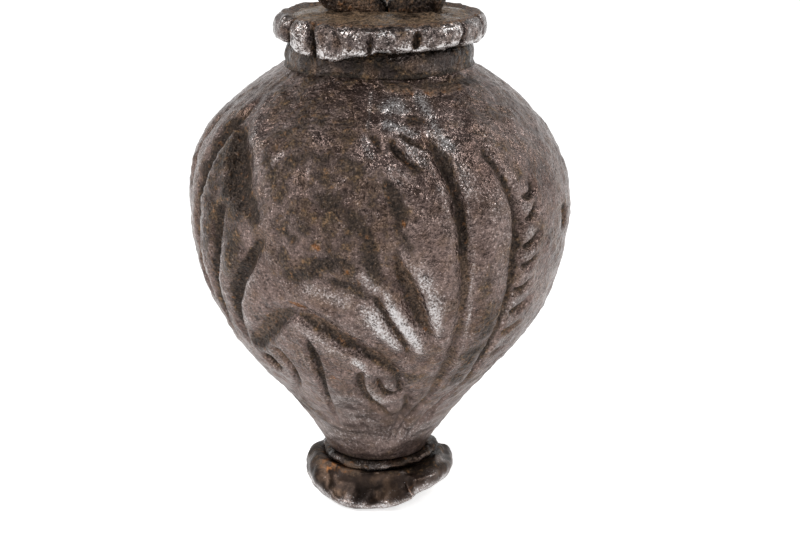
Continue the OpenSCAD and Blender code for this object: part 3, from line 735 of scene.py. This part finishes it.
notched = np.zeros_like(radius)
for turn, wide, deep_cut, tilt, level, tall in notches:
    notch = facing(angle, turn + tilt * middle, wide, 1.6) * bell(middle - level, tall, 4)
    notched = np.maximum(notched, deep_cut * notch)
print(len(notches), "notches, the deepest", round(notched.max(), 1), "mm")

# %% Uneven collar
lobe, second_lobe = facing(angle, -71, 9), facing(angle, -49, 7)
radius = radius + edge * (0.5 * lobe + 0.35 * second_lobe - notched)
radius += edge * rough(place, (0.16, 11, 21), (0.08, 3.5, 22), (0.05, 1.6, 23, 40))
drip = 1.7 * facing(angle, -31, 11) + 0.7 * facing(angle, -14, 14)
drip = np.maximum(drip + rough(place, (0.2, 4.5, 27)), 0)
worn_top = 0.4 * facing(angle, 5, 45) + 0.5 * facing(angle, -39.5, 3) + rough(place, (0.12, 3.5, 28))
height = height + edge * (0.45 * lobe + rough(place, (0.1, 9, 24)))
height -= edge * (drip + 0.8 * second_lobe) * ramp(-middle, -0.1, 0.5)
height -= edge * worn_top * ramp(middle, 0.1, 0.5)
low_edge, head_edge = bell(middle + 0.42, 0.14), bell(middle - 0.28, 0.12)
on_band = ramp(radius, 18.6, 19.5)
patchy = waves(place, 2.4, 25, 40)
collar_wear = 0.36 + 0.46 * low_edge + 0.1 * head_edge + 0.14 * patchy
collar_wear += 0.15 * second_lobe + 0.12 * facing(angle, 32, 34)
collar_wear = np.clip(on_band * collar_wear - 0.7 * ramp(notched, 0.25, 0.8), 0, 1)
collar_soil = np.clip(0.95 * (1 - on_band) + 0.6 * ramp(notched, 0.25, 0.9) - 0.1 * patchy, 0, 1)
collar_spot = 0.34 * (1 - on_band) * ramp(middle, 0, 0.3)
collar_grid = lopsided(round_axis(angle, radius, height))
collar = skin("notched_collar", collar_grid, "ring", wear=collar_wear, soil=collar_soil, spot=collar_spot)

# %% [markdown]
# ## Tail ring and foot
# A thin bead sits between the urn's tail and the foot. The foot is as uneven as a strip bent by hand: it
# curls up at the left, and at the right front one end laps over the other and leaves a step. Its outline
# therefore changes round the axis: a few marked points move with the angle, and a curve joins them.

# %% Tail ring
BEAD_LOW, BEAD_TOP = bead_low[2], bead_high[2]
BEAD_MIDDLE = (BEAD_LOW + BEAD_TOP) / 2
FOOT_BORE_R = TENON_R + FIT
CLIMB_ANGLE, CLIMB_WIDE = 80, 28
RUST_ANGLE, RUST_WIDE = -42, 24
bead_outline = closed_outline(
    [(FOOT_BORE_R, BEAD_LOW + 0.1), (9.5, BEAD_LOW + 0.03), (10.9, BEAD_MIDDLE - 0.85),
     (11.4, BEAD_MIDDLE - 0.1), (11.0, BEAD_MIDDLE + 0.6), (9.5, BEAD_TOP - 0.2),
     (FOOT_BORE_R, BEAD_TOP - 0.1)], 32)
radius, height, angle = carried_round(bead_outline, 220)
place = round_axis(angle, radius, height)
outer = ramp(radius, 9, 11)
climbs, front = facing(angle, CLIMB_ANGLE, CLIMB_WIDE), facing(angle, -15, 40)
radius = radius + outer * (0.9 * climbs - 0.6 * front + rough(place, (0.16, 8, 31), (0.12, 2.6, 32)))
height = height + outer * (1.2 * climbs + rough(place, (0.15, 9, 33)))
# Wear on the bead, stronger at the front as a painted highlight
bead_wear_and_highlight = np.clip(outer * (0.1 + 0.4 * front + rough(place, (0.15, 4, 34))), 0, 1)
bead_soil = np.clip(0.55 + rough(place, (0.3, 6, 35)), 0, 1)
bead_spot = 0.42 * facing(angle, RUST_ANGLE, RUST_WIDE) * ramp(BEAD_MIDDLE - height, -1.2, 0.4)
bead_grid = lopsided(round_axis(angle, radius, height))
bead = skin("tail_bead", bead_grid, "ring", wear=bead_wear_and_highlight, soil=bead_soil, spot=bead_spot)

# %% Outline of the foot
FOOT_COLUMNS = 300
FOOT_TOP, TENON_FLOOR = foot_high[2], TENON_END - FIT
angle = np.linspace(0, 360, FOOT_COLUMNS, endpoint=False)
curl = facing(angle, -82, 38, 4)
lap_ends = ramp(turn_from(angle, 118), 14, -14)
lap = ramp(turn_from(angle, 29), -2.5, 2.5) * lap_ends
lift = 1.5 * ramp(turn_from(angle, 16), -14, 13) * lap_ends
under_bead = facing(angle, CLIMB_ANGLE, CLIMB_WIDE)
# Radius and height of each marked point, from the middle of the underside out, up and into the bore
foot_marks = (
    (3, 0.02),
    (9, 0.05 + 0.5 * lap + 0.4 * lift),
    (12.3 + 0.2 * lap, 0.15 + 1.0 * lap + 0.3 * curl + 0.9 * lift),
    (13.9 + 0.6 * lap + 0.2 * curl, 0.7 + 1.4 * lap + 0.9 * curl + lift),
    (14.6 + 0.7 * lap + 0.4 * curl, 1.9 + 1.9 * lap + 2.2 * curl + lift),
    (13.5 + 1.4 * lap + 1.2 * curl, 3.0 + 2.6 * lap + 3.6 * curl + 0.7 * lift),
    (12.2 + 1.5 * lap + 1.0 * curl, 5.0 + 1.7 * lap + 3.3 * curl + 0.3 * lift),
    (11.7 + 0.3 * lap + 0.1 * curl + 0.6 * under_bead, 7.6 - 0.5 * lap + 0.5 * curl + 1.2 * under_bead),
    (9.5, FOOT_TOP - 0.15), (FOOT_BORE_R + 0.2, FOOT_TOP - 0.1), (FOOT_BORE_R, FOOT_TOP - 0.6),
    (FOOT_BORE_R, TENON_FLOOR + 0.4), (TENON_R - 0.4, TENON_FLOOR))
foot_marks = np.array([[r + 0 * angle, z + 0 * angle] for r, z in foot_marks])
curves = through(foot_marks.reshape(len(foot_marks), -1), 6).reshape(-1, 2, FOOT_COLUMNS)
radius, height = curves[:, 0], curves[:, 1]
print("foot from", round(height.min(), 2), "to", round(height.max(), 2), "mm")

# %% Uneven foot
angle = angle + 0 * radius
place = round_axis(angle, radius, height)
outer = ramp(radius, 10, 12.5)
radius = radius + outer * rough(place, (0.22, 10, 41), (0.1, 3.4, 42), (0.04, 1.7, 43))
height = np.maximum(height + outer * rough(place, (0.15, 8, 44)), 0)
rim_z = 1.3 + 1.6 * lap + 1.6 * curl + lift
# The rim is rubbed, and brighter towards the front as a painted highlight
rim_wear_and_highlight = bell(height - rim_z, 1.1) * (0.5 + 0.25 * facing(angle, -5, 30))
# Both ends of the foot are lighter: wear and a painted sheen
ends_wear_and_sheen = 1 - facing(angle, -10, 44, 4)
foot_wear = np.clip(outer * (rim_wear_and_highlight + 0.2 * ends_wear_and_sheen + rough(place, (0.1, 3, 45))), 0, 1)
foot_soil = np.clip(0.05 + 0.6 * ramp(height, 6.0, 7.5) + rough(place, (0.15, 6, 46)), 0, 1)
rusty_seam = facing(angle, RUST_ANGLE, RUST_WIDE) * ramp(height, 5.5, 7.2)
rusty_step = facing(angle, 27, 6) * bell(height - 4.5, 1.8)
foot_grid = lopsided(round_axis(angle, radius, height))
foot = skin("foot", foot_grid, wear=foot_wear, soil=foot_soil, spot=0.5 * rusty_seam + 0.3 * rusty_step,
            calm=0.8 * outer)

# %% [markdown]
# ## Lead
# Molten lead was poured in round the legs of the eye and rose a little where it met them. The grid runs
# up the outside of the lead, over its rough top, and down into the socket that the legs fill. The
# socket's rim is a long round shape, so its rows blend from a circle to that shape. A copy of the eye
# could cut the socket too, but one grid keeps the mesh clean.

# %% Lead with the socket of the eye
LEAD_COLUMNS = 160
EYE_LEAN, LEG_X, BAR_R, LEG_ROOM = 1.6, 4.25, 4.0, 0.12
SHRINK = 0.3
angle = np.linspace(0, 360, LEAD_COLUMNS, endpoint=False)
lead_side = inside(WALL + SHRINK)
lead_side = lead_side[(lead_side[:, 0] > MOUTH_R) & (lead_side[:, 1] < ROOF_Z - SHRINK)]
lead_r = MOUTH_R - SHRINK
lead_outside = np.vstack([[(lead_side[0, 0] - 1, lead_side[0, 1] - 0.1)], lead_side,
                          [(lead_r + 0.3, ROOF_Z - SHRINK), (lead_r, ROOF_Z), (lead_r, MOUTH_Z - 0.1),
                           (MOUTH_R + 0.5, MOUTH_Z + 0.15), (SPIGOT_R, MOUTH_Z + 0.12), (15.4, MOUTH_Z - 0.1),
                           (17.0, MOUTH_Z - 0.1), (17.3, MOUTH_Z + 0.1)]])
lead_grid = round_axis(angle[None, :], lead_outside[:, :1], lead_outside[:, 1:])


def socket(level, spread=0.0):
    """Rim of the socket at a height: a long round shape, a circle of the bar's size slid along X over
    both legs, shifted with the eye and lengthened where the legs spread."""
    turn = np.radians(angle)
    x, y = np.sin(turn), -np.cos(turn)
    flat = np.clip(3 * x, -1, 1) * (LEG_X + spread)
    size = BAR_R + LEG_ROOM
    return np.stack([EYE_LEAN + flat + size * x, size * y, level + 0 * turn], axis=-1)


share = np.linspace(0.06, 1, 14)[:, None, None]
lead_top = (1 - share) * lead_grid[-1] + share * socket(MOUTH_Z + 0.9)
lead_top[..., 2] = MOUTH_Z + 0.1 + 0.8 * share[..., 0] ** 0.8
lead_top[..., 2] += 0.5 * share[..., 0] * facing(angle, -70, 60)
lead_top[:-1, :, 2] += rough(lead_top[:-1], (0.12, 5, 51), (0.06, 2, 52))
EYE_LOW = eye_low[2]
lead_socket = np.stack([socket(MOUTH_Z - 0.5), socket(EYE_LOW + 9), socket(EYE_LOW + 5, 0.6),
                        socket(EYE_LOW - 0.3, 2.6)])
lead_grid = np.vstack([lead_grid, lead_top, lead_socket])
LEAD_SHIFT = 0.4
lead_grid[..., 0] += LEAD_SHIFT
lead_soil = 0.6 + rough(lead_grid, (0.2, 6, 53))
lead = skin("lead_fill", lead_grid, wear=np.full_like(lead_soil, 0.1), soil=lead_soil)

# %% [markdown]
# ## Eye and ring
# The eye is one bar, bent into a loop with its two legs side by side in the lead and their ends splayed
# so that they can't pull out. A section carried along a path is the natural way to draw it. The path is
# made of arcs and straight runs, as in the CAD model. The ring is a bar closed on itself.

# %% Path of the eye
LOOP_R, BEND_R, SPLAY_R, SPLAY = 9.2, 5.0, 8.0, 35.0
ROOT_Z, LEG_L = MOUTH_Z - 1.2, 22.0
loop_rise = np.sqrt((LOOP_R + BEND_R) ** 2 - (LEG_X + BEND_R) ** 2)
opening = np.degrees(np.arctan2(LEG_X + BEND_R, loop_rise))
LOOP_Z = ROOT_Z + loop_rise


def arc_points(middle_x, middle_z, radius, start, end, count):
    """Points on a circle in the upright plane, from one angle to another, in degrees from +X to +Z."""
    turn = np.radians(np.linspace(start, end, count))
    return np.column_stack([middle_x + radius * np.cos(turn), middle_z + radius * np.sin(turn)])


right_half = np.vstack([
    arc_points(LEG_X + SPLAY_R, ROOT_Z - LEG_L, SPLAY_R, 180 + SPLAY, 180, 10),
    np.column_stack([np.full(28, LEG_X), np.linspace(ROOT_Z - LEG_L, ROOT_Z, 30)[1:-1]]),
    arc_points(LEG_X + BEND_R, ROOT_Z, BEND_R, 180, 90 + opening, 14),
    arc_points(0, LOOP_Z, LOOP_R, opening - 90, 90, 44)[1:]])
bar_path = np.vstack([right_half, (right_half * [-1, 1])[-2::-1]])[::-1]
bar_path[:, 0] += EYE_LEAN * (1 - ramp(bar_path[:, 1], MOUTH_Z + 1, MOUTH_Z + 8))
print("the eye's bar is", round(np.linalg.norm(np.diff(bar_path, axis=0), axis=1).sum()), "mm long")

# %% Carry the bar's section along it


def bar_grid(path, way, across, round_bar):
    """Section carried along a path: at each path point the bar's radius goes round in the plane of the
    direction across and of a third one, square to it and to the path's way."""
    third = np.cross(way, across)
    turn = np.linspace(0, 2 * np.pi, round_bar.shape[1], endpoint=False)
    out = np.cos(turn)[None, :, None] * across[:, None] + np.sin(turn)[None, :, None] * third[:, None]
    return path[:, None] + round_bar[..., None] * out


path = np.column_stack([bar_path[:, 0], np.zeros(len(bar_path)), bar_path[:, 1]])
way = np.gradient(path, axis=0)
way /= np.linalg.norm(way, axis=1, keepdims=True)
across = np.column_stack([way[:, 2], np.zeros(len(way)), -way[:, 0]])
turn = np.linspace(0, 2 * np.pi, 48, endpoint=False)
SQUARENESS = 2.5
squared = (np.abs(np.cos(turn)) ** SQUARENESS + np.abs(np.sin(turn)) ** SQUARENESS) ** (-1 / SQUARENESS)
bar = np.repeat((BAR_R - 0.22) * squared[None, :], len(path), axis=0)
place = bar_grid(path, way, across, bar)
bar = bar + rough(place, (0.09, 7, 61), (0.05, 3, 62)) - 0.05
bar += 0.9 * bell(place[..., 2] - MOUTH_Z - 2.2, 3.2)
bar[[0, -1]] *= 0.8
eye_grid = bar_grid(path, way, across, bar)
rubbed_top = ramp(eye_grid[..., 2], LOOP_Z + 2, eye_high[2])
eye_wear = np.clip(0.08 + 0.5 * rubbed_top + rough(eye_grid, (0.15, 5, 63)), 0, 1)
eye_soil = np.clip(0.55 + rough(eye_grid, (0.25, 7, 64)), 0, 1)
eye_spot = 0.2 * ramp(EYE_LEAN - eye_grid[..., 0], 0, 3)
eye = skin("eye_bar", eye_grid, wear=eye_wear, soil=eye_soil, spot=eye_spot)

# %% Ring
RING_D = ring_high[0] - ring_low[0]
RING_R = (ring_high[2] - ring_low[2] - RING_D) / 2
RING_Z = (ring_high[2] + ring_low[2]) / 2
turn = np.linspace(0, 2 * np.pi, 180, endpoint=False)
across = np.column_stack([0 * turn, np.cos(turn), np.sin(turn)])
way = np.cross([1, 0, 0], across)
path = RING_R * across + [0, 0, RING_Z]
RING_SIDES = 40
bar = np.full((len(path), RING_SIDES), RING_D / 2 - 0.08)
place = bar_grid(path, way, across, bar)
SEAM_ANGLE, SEAM_SLANT = 62, 9
slant = SEAM_SLANT * np.cos(np.linspace(0, 2 * np.pi, RING_SIDES, endpoint=False))
seam = np.degrees(turn)[:, None] - SEAM_ANGLE + slant[None, :]
bar = bar + rough(place, (0.06, 6, 71), (0.04, 2.6, 72))
bar += 0.14 * bell(seam, 16) - 0.3 * bell(seam, 1.7)
ring_grid = bar_grid(path, way, across, bar)
rubbed_top = ramp(ring_grid[..., 2], RING_Z + 9, ring_high[2])
rubbed_foot = ramp(-ring_grid[..., 2], -ring_low[2] - 4, -ring_low[2])
ring_wear = np.clip(0.15 + 0.5 * rubbed_top + 0.4 * rubbed_foot + rough(ring_grid, (0.2, 6, 73)), 0, 1)
ring_soil = np.clip(0.45 + rough(ring_grid, (0.25, 7, 74)) + 0.6 * bell(seam, 2.5), 0, 1)
ring = skin("hanging_ring", ring_grid, "ring", wear=ring_wear, soil=ring_soil)

# %% [markdown]
# ## Old iron
# The iron is neither bright nor rusty all over. A thin grey-brown skin covers it, brown soil lies in
# the hollows, orange rust breaks out in spots, and rubbed places show silver through fine dark pits.
# Near the floor the skin is duller and calmer. An image could be painted for each piece, but noise needs
# no unwrapping and stays sharp up close. All iron pieces share it, so it is one node group that reads
# the marks of wear, soil, spot and calm. Each piece brings its own marks and tints, and so does the lead.

# %% Small helpers for shader nodes


def feed(slot, value):
    """Links a socket to an input of a node, or sets the input to a plain number or colour."""
    if hasattr(value, "is_output"):
        slot.id_data.links.new(value, slot)
    else:
        slot.default_value = value


def new_node(kind, *inputs):
    """A node in the tree that the first socket among some inputs belongs to."""
    tree = next(value.id_data for value in inputs if hasattr(value, "is_output"))
    return tree.nodes.new("ShaderNode" + kind)


def maths(operation, *inputs):
    """A maths node on sockets or plain numbers. Gives its result socket."""
    made = new_node("Math", *inputs)
    made.operation = operation
    for slot, value in zip(made.inputs, inputs):
        feed(slot, value)
    return made.outputs[0]


def times(first, second):
    """Product of two values."""
    return maths("MULTIPLY", first, second)


def scaled(value, weight, base):
    """A value times a weight, added to a base."""
    return maths("MULTIPLY_ADD", value, weight, base)


def off_middle(value, weight, base):
    """A noise value's distance from its middle, times a weight, added to a base."""
    return scaled(maths("SUBTRACT", value, 0.5), weight, base)


def between(value, start, end, low=0.0, high=1.0):
    """Smooth step of a value from low at start to high at end."""
    made = new_node("MapRange", value)
    made.interpolation_type = "SMOOTHSTEP"
    for slot, setting in zip(made.inputs, (value, start, end, low, high)):
        feed(slot, setting)
    return made.outputs["Result"]


def blend(share, first, second, kind="MIX"):
    """Mix of two colours by a share, each a socket or a plain value."""
    made = new_node("Mix", share, first, second)
    made.data_type = "RGBA"
    made.blend_type = kind
    for slot, value in ((0, share), (6, first), (7, second)):
        feed(made.inputs[slot], value)
    return made.outputs[2]


# %% Inputs, outputs and noises of the old iron group
old_iron = bpy.data.node_groups.new("old_iron", "ShaderNodeTree")
iron_inputs = {
    "Wear": 0.0, "Soil": 0.0, "Spot": 0.0, "Calm": 0.0, "Rust": 0.5, "Speckle": 1.0, "Grain": 1.0,
    "Patina": (0.22, 0.158, 0.14, 1), "Shade": (0.12, 0.08, 0.068, 1),
    "Soil Tint": (0.036, 0.0235, 0.0155, 1), "Silver": (0.68, 0.66, 0.66, 1)}
for name, default in iron_inputs.items():
    kind = "NodeSocketFloat" if isinstance(default, float) else "NodeSocketColor"
    old_iron.interface.new_socket(name, in_out="INPUT", socket_type=kind).default_value = default
for name, kind in (("Color", "NodeSocketColor"), ("Metallic", "NodeSocketFloat"),
                   ("Roughness", "NodeSocketFloat"), ("Height", "NodeSocketFloat")):
    old_iron.interface.new_socket(name, in_out="OUTPUT", socket_type=kind)
given = old_iron.nodes.new("NodeGroupInput").outputs
result = old_iron.nodes.new("NodeGroupOutput").inputs
where = old_iron.nodes.new("ShaderNodeTexCoord").outputs["Object"]


def grain(size_mm, detail=3.0, uneven=0.55):
    """Noise whose lumps are about size_mm across, placed by the piece's own coordinates."""
    made = new_node("TexNoise", where)
    feed(made.inputs["Vector"], where)
    feed(made.inputs["Scale"], 1 / (size_mm * MM))
    feed(made.inputs["Detail"], detail)
    feed(made.inputs["Roughness"], uneven)
    return made.outputs["Fac"]


dust, speck, grit = grain(0.32, 1), grain(0.65, 2, 0.6), grain(1.1, 3, 0.6)
spots, blotch, stain, cloud = grain(1.3, 4, 0.65), grain(2.6, 4, 0.6), grain(3.6), grain(9)
print("old iron has", len(iron_inputs), "inputs")

# %% Skin, soil and rust
RUST_ORANGE = (0.24, 0.1, 0.035, 1)
OCHRE = (0.22, 0.14, 0.075, 1)
STAIN_BROWN = (0.15, 0.095, 0.064, 1)
WARM_EARTH = (0.2, 0.13, 0.088, 1)
RUBBED_GREY = (0.3, 0.245, 0.225, 1)
# Two browns in clouds, brown stains, and grey where it is rubbed; where the wear mark carries a painted
# sheen, this grey is painted light
iron = blend(between(cloud, 0.36, 0.64), given["Shade"], given["Patina"])
iron = blend(between(stain, 0.45, 0.68, 0.0, 0.6), iron, STAIN_BROWN)
iron = blend(between(given["Wear"], 0.05, 0.8, 0.0, 0.8), iron, RUBBED_GREY)
# Blotches of soil with clumps of ochre, warmer near marked spots; where the soil mark carries painted shade,
# these blotches are painted shade
soil_lies = between(off_middle(blotch, 2.4, given["Soil"]), 0.2, 0.85, 0.0, 0.9)
clump = times(between(spots, 0.44, 0.68), between(stain, 0.38, 0.6, 0.12, 0.68))
clump = times(clump, between(given["Soil"], 0.55, 0.95, 1.0, 0.12))
earth = blend(clump, given["Soil Tint"], OCHRE)
earth = blend(between(given["Spot"], 0.05, 0.3, 0.0, 0.72), earth, WARM_EARTH)
iron = blend(soil_lies, iron, earth)
# Rust in the soil and on marked spots
rust_lies = times(between(spots, 0.58, 0.72), given["Rust"])
rust_lies = times(rust_lies, between(given["Soil"], 0.15, 0.8))
rust_lies = maths("MAXIMUM", rust_lies, between(off_middle(grit, 1.2, given["Spot"]), 0.3, 0.7))
iron = blend(rust_lies, iron, RUST_ORANGE)
print("skin, soil and rust take", len(old_iron.nodes), "nodes")

# %% Grain, bare metal and pits
PIT_DARK = (0.012, 0.009, 0.008, 1)
MOTTLE_DARKEST, MOTTLE_LIGHTEST = 0.25, 1.6
# Light and dark grains, stronger in soil and weaker where it is calm, with painted glints: bright grains that
# stand in for tiny reflections
mottle = off_middle(dust, 1.6, off_middle(speck, 2.0, 0.0))
gritty = scaled(soil_lies, 0.6, given["Grain"])
gritty = times(gritty, between(given["Calm"], 0.0, 1.0, 1.0, 0.55))
mottle = scaled(mottle, gritty, off_middle(blotch, 1.05, 0.85))
mottle = maths("MINIMUM", maths("MAXIMUM", mottle, MOTTLE_DARKEST), MOTTLE_LIGHTEST)
fleck = scaled(speck, 0.3, times(dust, 0.7))
painted_glint = times(between(fleck, 0.57, 0.7), given["Grain"])
iron = blend(1.0, iron, scaled(painted_glint, 0.7, mottle), "MULTIPLY")
# Silver flecks, more of them the more it is worn, but few under soil
bare_from = scaled(given["Wear"], -0.4, 0.82)
bare = between(times(maths("SUBTRACT", fleck, bare_from), given["Speckle"]), -0.11, 0.11)
bare = times(bare, scaled(soil_lies, -0.75, 1.0))
iron = blend(bare, iron, given["Silver"])
pits = times(between(speck, 0.40, 0.32), times(given["Grain"], 0.25))
feed(result["Color"], blend(pits, iron, PIT_DARK))
print("with its grain the colour takes", len(old_iron.nodes), "nodes")

# %% Shine and bumps
# Soil shines least like metal, and bare flecks are held back, so that they look bright from every side
shine = times(scaled(bare, -0.25, 0.82), scaled(soil_lies, -0.6, 1.0))
feed(result["Metallic"], shine)
# Soil and calm places are rough, rubbed ones smoother
dull = scaled(soil_lies, 0.26, scaled(given["Wear"], -0.12, 0.28))
dull = scaled(given["Calm"], 0.14, scaled(bare, -0.03, dull))
feed(result["Roughness"], dull)
# Bumps from coarse to fine, with a crust on soil, lower where it is rubbed or calm
bumps = scaled(blotch, 0.9, times(speck, 0.4))
bumps = scaled(grit, 0.5, scaled(dust, 0.08, bumps))
crust = times(scaled(grit, 0.5, speck), soil_lies)
bumps = scaled(crust, 0.5, bumps)
bumps = times(bumps, between(given["Wear"], 0.25, 0.7, 1.0, 0.7))
bumps = times(bumps, between(given["Calm"], 0.0, 1.0, 1.0, 0.35))
feed(result["Height"], bumps)
print("old iron is built of", len(old_iron.nodes), "nodes")

# %% One material for each kind of piece
BUMP_STRENGTH, GLOSS = 0.9, 0.25


def iron_finish(name, depth_mm=0.5, **values):
    """Material of old iron: the shared group, fed by the piece's own marks, with bumps of a depth."""
    made = bpy.data.materials.new(name)
    made.use_nodes = True
    nodes = made.node_tree.nodes
    shader = nodes["Principled BSDF"]
    group = nodes.new("ShaderNodeGroup")
    group.node_tree = old_iron
    for mark in ("wear", "soil", "spot", "calm"):
        read = nodes.new("ShaderNodeAttribute")
        read.attribute_name = mark
        feed(group.inputs[mark.title()], read.outputs["Fac"])
    for key, value in values.items():
        feed(group.inputs[key.replace("_", " ").title()], value)
    bump = nodes.new("ShaderNodeBump")
    feed(bump.inputs["Distance"], depth_mm * MM)
    feed(bump.inputs["Strength"], BUMP_STRENGTH)
    feed(bump.inputs["Height"], group.outputs["Height"])
    for key, source in (("Base Color", group.outputs["Color"]), ("Metallic", group.outputs["Metallic"]),
                        ("Roughness", group.outputs["Roughness"]), ("Normal", bump.outputs["Normal"]),
                        ("Specular IOR Level", GLOSS)):
        feed(shader.inputs[key], source)
    print("finish", name, "made")
    return made


cast_finish = iron_finish("cast_iron", grain=0.8, speckle=0.6)
collar_finish = iron_finish("filed_iron", grain=1.2, speckle=1.3, patina=(0.13, 0.1, 0.092, 1),
                            shade=(0.07, 0.052, 0.048, 1), silver=(0.74, 0.71, 0.7, 1))
neck_finish = iron_finish("crusted_iron", grain=0.7, patina=(0.056, 0.042, 0.037, 1),
                          shade=(0.03, 0.022, 0.019, 1), soil_tint=(0.032, 0.022, 0.015, 1))
dark_finish = iron_finish("blackened_iron", depth_mm=0.22, grain=0.12, rust=0.6, speckle=0.8,
                          patina=(0.046, 0.0305, 0.024, 1), shade=(0.022, 0.015, 0.012, 1),
                          soil_tint=(0.023, 0.015, 0.0102, 1))
bar_finish = iron_finish("forged_iron", rust=0.7, patina=(0.06, 0.048, 0.044, 1),
                         shade=(0.03, 0.023, 0.02, 1), soil_tint=(0.05, 0.032, 0.022, 1))
lead_finish = iron_finish("old_lead", rust=0.15, patina=(0.3, 0.22, 0.16, 1), shade=(0.2, 0.14, 0.095, 1),
                          soil_tint=(0.24, 0.16, 0.1, 1))

# %% Give each piece its body and finish


def belongs(piece, body, node, material):
    """Lets a piece ride on a body in place of a CAD piece, with its finish."""
    piece.data.materials.append(material)
    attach(piece, body)
    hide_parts(node)
    print(piece.name, "rides on", body)


belongs(urn, "weight", "body_shell", cast_finish)
belongs(neck, "weight", "neck_ring", neck_finish)
belongs(collar, "weight", "neck_collar", collar_finish)
belongs(bead, "weight", "tail_ring", dark_finish)
belongs(foot, "weight", "foot_knob", dark_finish)
belongs(lead, "weight", "lead_core", lead_finish)
belongs(eye, "weight", "suspension_eye", bar_finish)
belongs(ring, "ring", "suspension_ring", bar_finish)

# %% [markdown]
# ## White studio
# The weight stands in a white tent. Its walls are bright beside and behind the weight and darker above
# and in front, so that the iron shows both. A soft lamp at the upper left gives most of the light and
# one at the upper right the rest. The floor and the tent are white to the camera, and the floor keeps a
# faint shadow. Light Path tells rays that come from the camera, off metal or through glass from the
# others. A picture of a studio could light it too, but this needs no file.

# %% Floor
FLOOR_HALF = 3.0


def seen_by(tree):
    """Light Path's outputs, and a mask that is 1 for rays from the camera, off metal and through glass."""
    ray = tree.nodes.new("ShaderNodeLightPath").outputs
    seen = maths("MAXIMUM", ray["Is Camera Ray"], ray["Is Glossy Ray"])
    return ray, maths("MAXIMUM", seen, ray["Is Transmission Ray"])


corners = [(x * FLOOR_HALF, y * FLOOR_HALF, 0) for x, y in ((-1, -1), (1, -1), (1, 1), (-1, 1))]
floor_mesh = bpy.data.meshes.new("floor")
floor_mesh.from_pydata(corners, [], [(0, 1, 2, 3)])
floor = bpy.data.objects.new("floor", floor_mesh)
bpy.context.scene.collection.objects.link(floor)
paper = bpy.data.materials.new("white_paper")
paper.use_nodes = True
nodes = paper.node_tree.nodes
nodes.clear()
matt = nodes.new("ShaderNodeBsdfDiffuse")
feed(matt.inputs["Color"], (0.9, 0.9, 0.9, 1))
away = nodes.new("ShaderNodeVectorMath")
away.operation = "LENGTH"
feed(away.inputs[0], nodes.new("ShaderNodeTexCoord").outputs["Object"])
# The floor turns whiter with distance, so that it keeps the shadow but shows no edge
whiter = between(away.outputs["Value"], 0.1, 0.9, 0.46, 0.62)
glow = nodes.new("ShaderNodeEmission")
_, seen = seen_by(paper.node_tree)
feed(glow.inputs["Strength"], scaled(seen, whiter, 0.26))
both = nodes.new("ShaderNodeAddShader")
feed(both.inputs[0], matt.outputs[0])
feed(both.inputs[1], glow.outputs[0])
feed(nodes.new("ShaderNodeOutputMaterial").inputs["Surface"], both.outputs[0])
floor_mesh.materials.append(paper)
print("floor is", 2 * FLOOR_HALF, "m wide")

# %% Tent
world = bpy.data.worlds.new("white_tent")
bpy.context.scene.world = world
world.use_nodes = True
nodes = world.node_tree.nodes
ray, seen = seen_by(world.node_tree)
split = nodes.new("ShaderNodeSeparateXYZ")
feed(split.inputs[0], nodes.new("ShaderNodeTexCoord").outputs["Generated"])
overhead = between(split.outputs["Z"], 0.15, 0.8, 1.0, 0.45)
beside = between(maths("ABSOLUTE", split.outputs["X"]), 0.2, 0.9, 0.42, 0.95)
behind = between(split.outputs["Y"], 0.0, 0.6, 0.42, 1.1)
tent = times(overhead, maths("MAXIMUM", beside, behind))
# Metal sees nearly the whole tent, other rays half of it, and the camera plain white
level = times(tent, scaled(seen, 0.45, 0.5))
feed(nodes["Background"].inputs["Color"], (1, 1, 1, 1))
feed(nodes["Background"].inputs["Strength"], maths("MAXIMUM", level, ray["Is Camera Ray"]))
print("tent is hung")

# %% Lamps
LAMP_AIM = (0, 0, 0.06)


def soft_lamp(name, place, size, watts):
    """Square lamp of a size in metres at a place, turned towards the belly of the urn."""
    data = bpy.data.lights.new(name, "AREA")
    data.size = size
    data.energy = watts
    lamp = bpy.data.objects.new(name, data)
    bpy.context.scene.collection.objects.link(lamp)
    lamp.location = place
    toward = np.array(LAMP_AIM) - np.array(place)
    flat = np.hypot(toward[0], toward[1])
    lamp.rotation_euler = (np.arctan2(flat, -toward[2]), 0, np.arctan2(-toward[0], toward[1]))
    print(name, "lamp of", watts, "W")


soft_lamp("key", (-0.55, -0.3, 0.6), 0.36, 3.4)
soft_lamp("fill", (0.58, -0.1, 0.55), 0.3, 2.0)
bpy.context.scene.view_settings.view_transform = "Standard"
